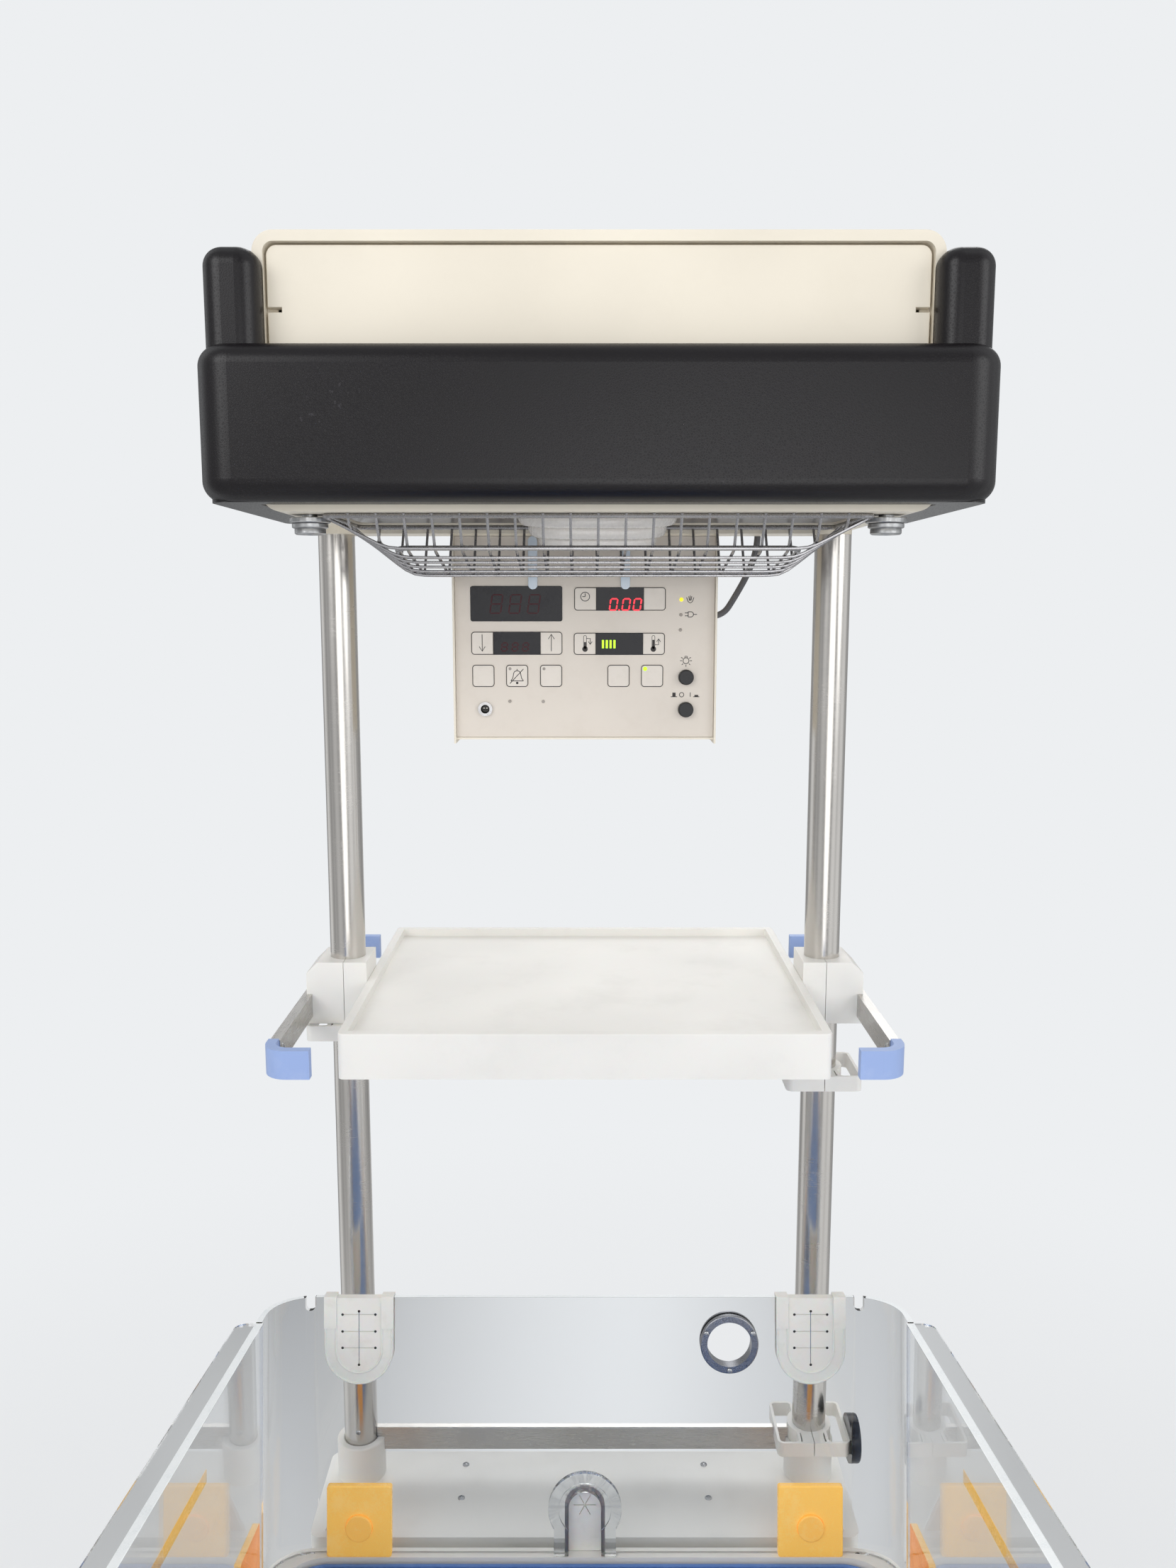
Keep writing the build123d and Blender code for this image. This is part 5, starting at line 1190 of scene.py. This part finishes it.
    def build_keys(self, seat: Datum) -> None:
        """Cover each key with a foil dome, and print its outline.

        Args:
            seat: The panel's face.
        """
        side = self.key_side - self.key_gap
        away, wide, corner = self.pair_key
        domes = [self.dome(x, self.key_z, side, side, self.key_corner, self.key_rise) for x in self.keys]
        for x, z, width, height in self.pairs:
            self.key_ink.append(self.frame(x, z, width, height))
            for hand in (-1, 1):
                tall = height - self.key_gap
                domes.append(self.dome(x + hand * away, z, wide, tall, corner, self.key_rise))
        self.key_ink.extend(self.frame(x, self.key_z, self.key_side, self.key_side) for x in self.keys)
        settle(Skin.placed(seat, domes), "key_domes", KEY_FOIL, "carriage", smooth=False)

    def build_lamps(self, seat: Datum) -> None:
        """Set the small round lamps: one yellow and one green are lit, the others are grey lenses.

        Args:
            seat: The panel's face.
        """
        yellow, *grey, green = [self.lens(*lamp) for lamp in self.lamps]
        settle(Skin.placed(seat, [yellow]), "yellow_lamp", YELLOW_LIGHT, "carriage")
        settle(Skin.placed(seat, [green]), "green_lamp", GREEN_LIGHT, "carriage")
        settle(Skin.placed(seat, grey), "grey_lamps", GREY_LENS, "carriage")

    def lens(self, x: float, z: float, radius: float) -> Array:
        """Give a shallow lens, a quarter circle spun round.

        Args:
            x, z, radius: Its middle on the panel, and its size.

        Returns:
            A grid of points, from its rim to its crown.
        """
        low, rise = self.lens_rise
        turn = np.linspace(0, pi / 2, 7)
        curve = np.column_stack([radius * np.cos(turn) + 0.01, low + rise * np.sin(turn)])
        return spun(np.vstack([[(radius, 0)], curve]), 24) + (x, z, 0)

    def build_tabs(self, seat: Datum) -> None:
        """Hang the two clear tabs that come down over the windows' upper edges.

        Args:
            seat: The panel's face.
        """
        tab = carried(*self.tab, np.array(self.tab_profile), 48)
        tabs = [tab + (x, self.tab_z, 0) for x in self.tabs]
        settle(Skin.placed(seat, tabs), "window_tabs", TAB, "carriage")

    def digit(self, x: float, z: float, width: float, height: float, lit: str) -> list[Array]:
        """Draw the segments of one slanted digit.

        Args:
            x, z: The middle of the digit.
            width, height: Its size.
            lit: The letters of the segments to draw, a at the top and on clockwise, g in the middle.

        Returns:
            A pointed bar for each segment, two columns wide.
        """
        half, quarter = width / 2, height / 4
        gap, point, thick, tip, slant = self.segment
        bars = {"a": (0, 2, 0), "b": (1, 1, 1), "c": (1, -1, 1), "d": (0, -2, 0), "e": (-1, -1, 1),
                "f": (-1, 1, 1), "g": (0, 0, 0)}
        made = []
        for letter in lit:
            across, up, upright = bars[letter]
            length = (height / 2 if upright else width) / 2 - gap
            along = np.array([-length, -length + point, length - point, length])
            away = np.array([tip, thick, thick, tip])
            points = np.stack([np.stack([along, -away], -1), np.stack([along, away], -1)], 1)
            points = points[..., ::-1] if upright else points
            points = points + (across * half, up * quarter)
            points[..., 0] += slant * points[..., 1]
            made.append(np.concatenate([points + (x, z), np.zeros((4, 2, 1))], -1))
        return made

    def digits(self, places: Sequence[float], z: float, width: float, height: float,
               lit: str) -> list[Array]:
        """Draw one digit at each place along the panel, as digit() does."""
        return [bar for x in places for bar in self.digit(x, z, width, height, lit)]

    def build_segments(self) -> None:
        """Light the timer's three noughts and the four bars, and leave the temperature digits dim, with a
        faint painted glow.
        """
        start, end, wide = self.dot
        red = self.digits(*self.timer, "abcdef") + [ribbon([start, end], wide)]
        settle(self.sheet(red, self.glaze), "timer_digits", RED_LIGHT, "carriage", smooth=False)
        places, (low, high), wide = self.bars
        green = [ribbon([(x, low), (x, high)], wide) for x in places]
        settle(self.sheet(green, self.glaze), "power_bars", GREEN_LIGHT, "carriage", smooth=False)
        dim = [bar for reading in self.readings for bar in self.digits(*reading, "abcdefg")]
        settle(self.sheet(dim, self.glaze), "unlit_digits", DIM_SEGMENT, "carriage", smooth=False)

    def draw_signs(self) -> None:
        """Draw the plain signs of the keys and lamps as printed strokes, from points on the panel."""
        lamp_x, lamp_z = self.lamp_sign
        near, far = self.rays
        on_keys = [
            arc(0.3, 149.0, 4.6), [(0.3, 149.0), (0.3, 152.4)], [(0.3, 149.0), (-2.6, 149.0)],
            [(-107.3, 110.0), (-107.3, 92.6)], [(-110.4, 97.4), (-107.3, 92.4), (-104.2, 97.4)],
            [(-35.0, 92.6), (-35.0, 110.0)], [(-38.1, 105.2), (-35.0, 110.2), (-31.9, 105.2)],
            [(1.4, 105.8), (5.6, 105.8), (5.6, 100.0)], [(3.6, 102.6), (5.6, 99.6), (7.6, 102.6)],
            [(73.2, 99.2), (77.0, 99.2), (77.0, 105.0)], [(75.0, 102.4), (77.0, 105.4), (79.0, 102.4)],
            np.vstack([[(-77.6, 61.6), (-75.6, 64.4)], arc(-71.0, 68.4, 3.8, 180, 0),
                       [(-66.4, 64.4), (-64.4, 61.6)]]),
            [(-77.6, 61.6), (-64.4, 61.6)], [(-78.6, 58.8), (-64.4, 74.0)], [(-71.0, 72.2), (-71.0, 74.0)],
        ]
        on_panel = [
            [(107.6, 128.0), (107.6, 133.4)],
            np.vstack([[(107.6, 133.4)], arc(110.4, 130.7, 2.7, 90, -90), [(107.6, 128.0)]]),
            [(104.2, 132.2), (107.6, 132.2)], [(104.2, 129.2), (107.6, 129.2)],
            [(113.1, 130.7), (116.8, 130.7)],
            arc(lamp_x, lamp_z, 3.1), [(104.7, 85.8), (104.7, 87.2), (107.1, 87.2), (107.1, 85.8)],
            [(105.8, 148.2), (107.4, 143.8), (109.6, 142.4), (111.8, 143.8), (113.4, 148.2)],
            [(108.0, 149.4), (108.8, 145.0)], [(109.6, 150.0), (109.6, 144.8)],
            [(111.2, 149.4), (110.4, 145.0)],
            arc(101.7, 47.0, 2.3), [(110.8, 44.8), (110.8, 49.4)],
            [(90.4, 44.9), (97.0, 44.9)], [(113.8, 44.9), (120.4, 44.9)],
        ]
        on_panel += [[(lamp_x + reach * cos(a), lamp_z + reach * sin(a)) for reach in (near, far)]
                     for a in np.radians((-90, -45, -135, 0, 180, 35, 145))]
        on_keys += [[(x + hand * self.split, z + end * height / 2) for end in (-1, 1)]
                    for x, z, _, height in self.pairs for hand in (-1, 1)]
        self.ink.extend(ribbon(np.array(line), self.stroke) for line in on_panel)
        self.ink.extend(ribbon(np.array([(x, 44.9), (x, top)]), wide)
                        for x, top, wide in ((93.7, 49.2, 3.4), (117.2, 46.8, 4.0)))
        self.key_ink.extend(ribbon(np.array(line), self.stroke) for line in on_keys)
        for x, mercury in ((0.2, 104.0), (71.6, 106.4)):
            self.key_ink.append(ribbon(np.array([(x, 95.0), (x, mercury - 2)]), 2.2))
            self.key_ink.append(ribbon(arc(x, 94.8, 1.45), 2.9))
            outline = np.vstack([[(x - 1.5, 97.0)], arc(x, 107.4, 1.5, 180, 0), [(x + 1.5, 97.0)]])
            self.key_ink.append(ribbon(outline, 0.5))
        self.key_ink.append(ribbon(arc(-71.0, 59.4, 0.65), 1.3))

    def build_socket(self, seat: Datum) -> None:
        """Fill the sensor socket with its dark insert and two bright contacts.

        Args:
            seat: The panel's face.
        """
        x, z = self.socket
        aside, up, deep = self.contact_place
        insert = spun(self.insert, 40) + (x, z, 0)
        settle(Skin.placed(seat, [insert]), "socket_insert", INSERT, "carriage")
        profile = np.array([(0, 0), (0, 0.5), (0.3, 0.8)])
        pin = carried(*self.contact, profile, 24)
        contacts = [pin + (x + hand * aside, z + up, deep) for hand in (-1, 1)]
        settle(Skin.placed(seat, contacts), "socket_contacts", CONTACT, "carriage")


@dataclass
class Fasteners:
    """Screw heads with their recesses, and the small pin in the left column."""

    # Radius and rise of each kind of head
    deck_head: tuple[float, float] = (4.0, 2.0)
    pin_head: tuple[float, float] = (3.0, 1.6)
    port_head: tuple[float, float] = (2.7, 0.9)
    rail_head: tuple[float, float] = (5.6, 2.4)
    deck_screws: tuple = ((-140, 10), (-140, -45), (140, 10), (140, -45))
    pin: tuple[float, float, float] = (-260.0, -18.7, 62.0)
    port: tuple[float, float, float] = (154.0, -5.9, 224.5)
    port_ring: float = 27.5
    port_turns: tuple[float, ...] = (26, 154, 270)
    rail_inner: float = 294.0
    rail_end: float = 167.0
    rail_z: float = 576.0

    def head(self, seat: Datum, radius: float, rise: float) -> Skin:
        """Press a domed screw head with a cross recess.

        Height is a dome, rise * (1 - 0.8 (r / R)^3), less 0.55 of the rise inside a cross of half-width
        0.18 R and reach 0.62 R. The grid is square, rounded by pulling each square ring out to a circle.

        Args:
            seat: The face that the head stands on.
            radius, rise: Its size.

        Returns:
            The head's surface, closed below.
        """
        side = np.linspace(-1, 1, 33)
        u, v = np.meshgrid(side, side)
        x, y = u * np.sqrt(1 - v * v / 2), v * np.sqrt(1 - u * u / 2)
        reach = np.hypot(x, y)
        cross = ((np.abs(x) < 0.18) | (np.abs(y) < 0.18)) & (reach < 0.62)
        height = rise * (1 - 0.8 * reach ** 3) - np.where(cross, 0.55 * rise, 0)
        height = np.where(reach > 0.985, 0, height)
        return Skin.grid(seat.world(np.stack([x * radius, y * radius, height], -1)), wrap=False)

    def build(self) -> None:
        """Set the deck's four screws, the port's three, the column's one and one at each rail end."""
        heads = [self.head(DECK.seen(Facing.UP, x, y, 0), *self.deck_head) for x, y in self.deck_screws]
        settle(Skin.join(heads), "deck_screw_heads", ZINC, "carriage", ["deck_screws"])
        pin = self.head(DECK.seen(Facing.AHEAD, *self.pin), *self.pin_head)
        settle(pin, "column_pin_head", ZINC, "carriage")
        x, y, z = self.port
        ring = [(x + self.port_ring * cos(a), y, z + self.port_ring * sin(a))
                for a in np.radians(self.port_turns)]
        heads = [self.head(BED.seen(Facing.AHEAD, *place), *self.port_head) for place in ring]
        settle(Skin.join(heads), "round_port_screws", ZINC, "bed")
        heads = []
        for hand in (-1, 1):
            for y in (-self.rail_end, self.rail_end):
                seat = DECK.seen(Facing.outwards(-hand), hand * self.rail_inner, y, self.rail_z)
                heads.append(self.head(seat, *self.rail_head))
        settle(Skin.join(heads), "rail_end_screws", ZINC, "shelf")


@dataclass
class Bedding:
    """The padded mattress in its coated cloth, with welted seams round its top and bottom edges."""

    half: tuple[float, float] = (305.5, 375.0)
    corner: float = 38.0
    middle: float = -390.0
    base: float = -51.0
    thick: float = 47.0
    crown: float = 4.0
    swell: float = 5.0
    voxel: float = 7.0
    belly: float = 3.0
    welt: float = 2.2
    welt_in: float = 1.5
    welt_up: float = 2.5
    welt_out: float = 1.2
    steps: int = 240
    around: int = 160
    side_rings: int = 9
    top_rings: int = 13
    pressure: float = 4.0
    stiffness: float = 12.0
    quality: int = 4
    frames: int = 20

    def blank(self) -> Skin:
        """Shape the foam core: a rounded slab whose top is crowned and whose side bulges between its seams.

        The side's inset is the belly times (1 - sin(pi h)) at the share h of its height. The top rises by
        the crown times (1 - s^4), where s is the share of the way from the middle to the edge.
        """
        share = np.linspace(0, 1, self.side_rings)
        side = np.column_stack([self.belly - self.belly * np.sin(pi * share), share * self.thick])
        across = np.linspace(0, 1, self.top_rings + 1)[1:]
        reach = self.half[0] - 2 * self.belly
        top = self.thick + self.crown * (1 - (1 - across) ** 4)
        top = np.column_stack([self.belly + across * reach, top])
        under = np.column_stack([self.belly + across[::-1] * reach, np.zeros_like(across)])
        grid = carried(*self.half, self.corner, np.vstack([under, side, top]), self.around)
        return Skin.placed(self.seat(), [grid])

    def seat(self) -> Datum:
        """Give the datum of the mattress's middle on the tub's floor."""
        return BED.seen(Facing.UP, 0, self.middle, self.base)

    def build(self) -> None:
        """Inflate the mattress and sew its welts."""
        pad = settle(self.blank(), "padded_mattress", MATTRESS_CLOTH, "bed", ["mattress"])
        self.inflate(pad)
        for name, height in (("upper", self.thick - self.welt_in), ("lower", self.welt_up)):
            wide, deep = (half + self.welt_out for half in self.half)
            line = rounded(wide, deep, self.corner, self.steps)
            line = np.column_stack([line, np.full(self.steps, height)])
            welt = piped(line, self.welt, (0, 0, 1), 10, loop=True)
            settle(Skin.placed(self.seat(), [welt]), f"mattress_{name}_welt", MATTRESS_PIPING, "bed")

    def inflate(self, pad: bpy.types.Object) -> None:
        """Remesh the pad, blow its cloth up a little, and keep each point within the swell of its start.

        Args:
            pad: The mattress, whose mesh is changed.
        """
        scene = bpy.context.scene
        bpy.context.view_layer.objects.active = pad
        remesh = pad.modifiers.new("even", "REMESH")
        remesh.mode, remesh.voxel_size, remesh.use_smooth_shade = "VOXEL", self.voxel * MM, True
        with bpy.context.temp_override(object=pad, active_object=pad):
            bpy.ops.object.modifier_apply(modifier=remesh.name)
        start = np.empty(len(pad.data.vertices) * 3)
        pad.data.vertices.foreach_get("co", start)
        cloth = pad.modifiers.new("air", "CLOTH")
        cloth.settings.use_pressure = True
        cloth.settings.uniform_pressure_force = self.pressure
        cloth.settings.quality = self.quality
        cloth.settings.tension_stiffness = self.stiffness
        cloth.settings.effector_weights.gravity = 0.0
        cloth.point_cache.frame_start, cloth.point_cache.frame_end = 1, self.frames
        for number in range(1, self.frames + 1):
            scene.frame_set(number)
        shaped = pad.evaluated_get(bpy.context.evaluated_depsgraph_get())
        end = np.empty_like(start)
        shaped.data.vertices.foreach_get("co", end)
        pad.modifiers.remove(cloth)
        scene.frame_set(1)
        move = (end - start).reshape(-1, 3)
        length = np.linalg.norm(move, axis=1, keepdims=True) + 1e-9
        move *= np.minimum(1, self.swell * MM / length)
        pad.data.vertices.foreach_set("co", (start.reshape(-1, 3) + move).ravel())
        pad.data.update()
        log.info("mattress: %d faces, moved up to %.1f mm", len(pad.data.polygons), length.max() / MM)


@dataclass
class Walls:
    """Painted bright edges of the acrylic walls (white strips with a faint painted glow), their trims, and
    the moulded detail of the tube ports.
    """

    rise: float = 273.0
    outer: float = 335.0
    reach: float = 61.0
    corner: float = 50.0
    wall: float = 6.0
    stand_off: float = 0.15
    # Where the back wall's top runs between its cut-outs, and where it starts again towards the bend
    notch_runs: tuple = ((-203.6, 203.6), (278.4, 287.4), 298.6)
    side: tuple[float, float] = (-64.0, -777.0)
    front: tuple[float, float] = (-780.0, -788.0)
    front_half: float = 331.0
    plate: float = 8.0
    flange: float = 19.0
    flange_deep: float = 4.0
    flange_corner: float = 12.0
    # Across and up a bright strip, as a share of its width and in millimetres
    strip_profile: tuple = ((-0.5, 0.02), (-0.42, 0.16), (0.42, 0.16), (0.5, 0.02))
    strip_foot: float = 2.0
    # Half length, half height and corner of an amber strip, then its place on the wall
    trim: tuple[float, float, float] = (175.0, 6.0, 1.5)
    trim_place: tuple[float, float] = (-420.0, 219.5)
    trim_profile: tuple = ((0.3, 0), (0, 0.15), (0, 0.5), (0.3, 0.7))
    trim_gap: float = 0.05
    port_x: float = 241.0
    port_face: float = -2.0
    rim_top: float = 6.0
    port_drop: float = 55.0
    rims: tuple[float, float] = (35.6, 24.5)
    rim: float = 1.1
    rim_lift: float = 0.1
    slit_half: float = 17.5
    slit_drops: tuple[float, ...] = (17.5, 35.5, 53.0)
    slit_ends: tuple[float, float] = (14.0, 71.0)
    slit_shade_disc: tuple = ((0.01, 0.12), (1.3, 0.12), (1.4, 0.0))

    def build(self) -> None:
        """Build the edges of the walls, the side trims and the port rims."""
        self.build_back_edge()
        self.build_wall_edges()
        self.build_trims()
        self.build_port_detail()

    def build_back_edge(self) -> None:
        """Lay a thin cap of painted light, white and faintly glowing, along the top of the back wall
        between its cut-outs.

        The line is the wall's middle: straight, then a quarter circle, then straight again along the arm.
        """
        middle = self.wall / 2
        half, radius = self.outer - middle, self.corner - middle
        turn = np.linspace(0, pi / 2, 20)
        bend = np.column_stack([half + radius * (np.sin(turn) - 1), middle + radius * (np.cos(turn) - 1)])
        bend = np.vstack([bend, [(half, -self.reach)]])
        *straight, last = self.notch_runs
        runs = [np.array([(x, middle) for x in run]) for run in straight] + [bend[bend[:, 0] > last]]
        runs += [run * (-1, 1) for run in runs[1:]]
        flats = [ribbon(run, self.wall, self.rise + self.stand_off) for run in runs]
        settle(Skin.placed(BED, flats, wrap=False), "back_wall_edge", ACRYLIC_EDGE_LIGHT, "bed", smooth=False)

    def strip(self, seat: Datum, start: tuple[float, float], end: tuple[float, float],
              width: float) -> Skin:
        """Lay a thin flat strip on a face, from one point to another, slightly rounded off at its sides.

        Args:
            seat: The face.
            start, end: Where the strip's middle starts and ends on it.
            width: The strip's width.

        Returns:
            Its surface, open below.
        """
        path = np.linspace(start, end, 24)
        step = (path[-1] - path[0]) / np.linalg.norm(path[-1] - path[0])
        side = np.array((-step[1], step[0]))
        cross = np.array(self.strip_profile)
        flat = path[:, None] + cross[None, :, :1] * width * side
        height = np.broadcast_to(cross[None, :, 1:], flat.shape[:2] + (1,))
        return Skin.grid(seat.world(np.concatenate([flat, height], -1)), wrap=False)

    def build_wall_edges(self) -> None:
        """Lay strips of painted light, white and faintly glowing, on the sawn edges: each wall's top,
        flange and upright ends.
        """
        back, front = self.side
        middle, half = (back + front) / 2, (back - front) / 2
        inner, edge = self.outer - self.plate, self.outer + self.flange
        reach, deep = half - self.flange_corner, self.flange_deep
        for name, hand in (("left", -1), ("right", 1)):
            top = BED.seen(Facing.UP, 0, 0, self.rise)
            outer = BED.seen(Facing.outwards(hand), hand * edge, middle, self.rise)
            across = hand * (inner + self.plate / 2)
            skins = [self.strip(top, (across, back), (across, front), self.plate),
                     self.strip(outer, (-reach, -deep / 2), (reach, -deep / 2), deep)]
            for facing, y in ((Facing.AHEAD, front), (Facing.BEHIND, back)):
                end = BED.seen(facing, hand * (self.outer - self.plate / 2), y, 0)
                skins.append(self.strip(end, (0, self.strip_foot), (0, self.rise), self.plate))
            settle(Skin.join(skins), f"side_wall_edges_{name}", ACRYLIC_EDGE_LIGHT, f"wall_{name}", smooth=False)
        near, far = self.front
        top = BED.seen(Facing.UP, 0, 0, self.rise)
        outer = BED.seen(Facing.AHEAD, 0, far - self.flange, self.rise)
        reach = self.front_half - self.flange_corner
        level = (near + far) / 2
        skins = [self.strip(top, (-self.front_half, level), (self.front_half, level), self.plate),
                 self.strip(outer, (-reach, -deep / 2), (reach, -deep / 2), deep)]
        for hand in (1, -1):
            end = BED.seen(Facing.outwards(hand), hand * self.front_half, level, 0)
            skins.append(self.strip(end, (0, self.strip_foot), (0, self.rise), self.plate))
        settle(Skin.join(skins), "front_wall_edges", ACRYLIC_EDGE_LIGHT, "wall_front", smooth=False)

    def build_trims(self) -> None:
        """Stick the narrow amber strips on the outer faces of the side walls; they carry the amber's faint
        painted glow.
        """
        for name, hand in (("left", -1), ("right", 1)):
            seat = BED.seen(Facing.outwards(hand), hand * (self.outer + self.trim_gap), 0, 0)
            y, z = self.trim_place
            grid = carried(*self.trim, np.array(self.trim_profile), 32) + (hand * y, z, 0)
            settle(Skin.placed(seat, [grid]), f"side_trim_{name}", AMBER, f"wall_{name}")

    def build_port_detail(self) -> None:
        """Mould the raised U rims of the tube ports, and lay dark discs of painted shade where their slits
        end, for the small round holes there.
        """
        rims, shade_discs = [], []
        for hand in (-1, 1):
            seat = BED.seen(Facing.AHEAD, hand * self.port_x, self.port_face, self.rise)
            for reach in self.rims:
                curve = arc(0, -self.port_drop, reach, 180, 360, 40)
                line = np.vstack([[(-reach, -self.rim_top)], curve, [(reach, -self.rim_top)]])
                path = np.column_stack([line, np.full(len(line), self.rim_lift)])
                rims.append(Skin.placed(seat, [piped(path, self.rim, (0, 0, 1), 8)]))
            ends = [(side * self.slit_half, drop) for side in (-1, 1) for drop in self.slit_drops]
            ends += [(0, drop) for drop in self.slit_ends]
            # Each hole is not cut: it is a dark disc laid on the port, painted shade
            shade_disc = spun(self.slit_shade_disc, 16)
            shade_discs.append(Skin.placed(seat, [shade_disc + (u, -drop, 0) for u, drop in ends]))
        settle(Skin.join(rims), "port_rims", SILICONE, "bed")
        settle(Skin.join(shade_discs), "port_slit_end_painted_shade", PRINT_INK_AND_SHADE, "bed")


@dataclass
class Casters:
    """The treaded tyres and the dished hubs of the four wheels."""

    radius: float = 50.0
    width: float = 28.0
    rim: float = 37.0
    shoulder: float = 4.5
    groove: float = 0.4
    groove_share: float = 0.12
    around: int = 96
    # Radius, and distance in from the wheel's face, of the hub's profile, and its rows that wave
    hub: tuple = ((5.05, 0), (10, 0), (11.5, 2), (15, 4), (30, 4.5), (34, 1.5), (37.2, 1))
    dished: tuple[int, int] = (3, 4)
    lobes: int = 5
    dish: float = 1.2
    # Each wheel's place, and how far it trails behind its fork
    places: dict = field(default_factory=lambda: {
        "front_left": (-265, -370, -32), "front_right": (265, -370, -32), "rear_left": (-265, 370, 32),
        "rear_right": (265, 370, 32)})

    def build(self) -> None:
        """Build each wheel about its axle.

        The tyre's radius falls by the shoulder times t^3 at the share t of its half width, and by the
        groove in the middle. The hub's web waves by the dish times the cosine of lobes times the angle.
        """
        half = self.width / 2
        turn = np.linspace(-1, 1, 15)
        worn = self.shoulder * np.abs(turn) ** 3 + self.groove * (np.abs(turn) < self.groove_share)
        tread = np.column_stack([self.radius - worn, turn * half])
        tyre = np.vstack([[(self.rim, 1 - half)], tread, [(self.rim, half - 1), (self.rim, 1 - half)]])
        one, other = [np.array([(r, side * (half - z)) for r, z in self.hub]) for side in (-1, 1)]
        profile = np.vstack([one, other[::-1], one[:1]])
        angle = np.arange(self.around) * 2 * pi / self.around
        side = np.zeros(len(profile))
        side[list(self.dished)] = 1
        side[[2 * len(self.hub) - 1 - row for row in self.dished]] = -1
        web = self.dish * np.outer(side, np.cos(self.lobes * angle))
        for place, (x, y, trail) in self.places.items():
            seat = FLOOR.seen(Facing.RIGHT, x, y + trail, self.radius)
            body = "wheel_" + place
            settle(Skin.placed(seat, [spun(tyre, self.around)]), "tyre_" + place, TYRE, body,
                   ["caster_wheel_" + place])
            hub = spun(profile, self.around)
            hub[..., 2] += web
            settle(Skin.placed(seat, [hub]), "hub_" + place, HUB, body)


@dataclass
class HoodCable:
    """The cable that hangs from the hood into the side of the control box."""

    radius: float = 3.5
    kept: float = 0.96
    route: tuple = ((186, 36, 1083), (186, 36, 1064), (178, 42, 1038), (165, 52, 1012), (152, 60, 990),
                    (137.5, 60, 990))

    def build(self) -> None:
        """Draw the cable as a smooth curve on its route; rounded bends take a little off its length."""
        points = DECK.world(np.array(self.route, float))
        curve = bpy.data.curves.new("hood_lead", "CURVE")
        curve.dimensions, curve.bevel_depth, curve.bevel_resolution = "3D", self.radius * MM, 6
        curve.use_fill_caps = True
        spline = curve.splines.new("NURBS")
        spline.points.add(len(points) - 1)
        spline.points.foreach_set("co", np.column_stack([points, np.ones(len(points))]).ravel())
        spline.order_u, spline.use_endpoint_u, spline.resolution_u = 3, True, 12
        lead = bpy.data.objects.new("hood_lead", curve)
        bpy.context.scene.collection.objects.link(lead)
        curve.materials.append(SHEATH.material())
        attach(lead, "carriage")
        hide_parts("hood_cable")


def dress_nodes() -> None:
    """Give every CAD node that still shows its finish, by its material slots alone."""
    for finish, names in NODE_FINISHES.items():
        for name in names:
            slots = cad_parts[name].data.materials
            for number in range(len(slots)):
                slots[number] = finish.material()
        log.info("%s: %s", finish.name, ", ".join(names))


def main() -> None:
    """Build the scene in order."""
    Studio().build()
    dress_nodes()
    for assembly in (HoodCable(), Heater(), ControlFace(), Fasteners(), Walls(), Casters(), Bedding()):
        assembly.build()
        log.info("%s is built", type(assembly).__name__)


if __name__ == "__main__":
    logging.basicConfig(level=logging.INFO, format="%(name)s: %(message)s")
    main()
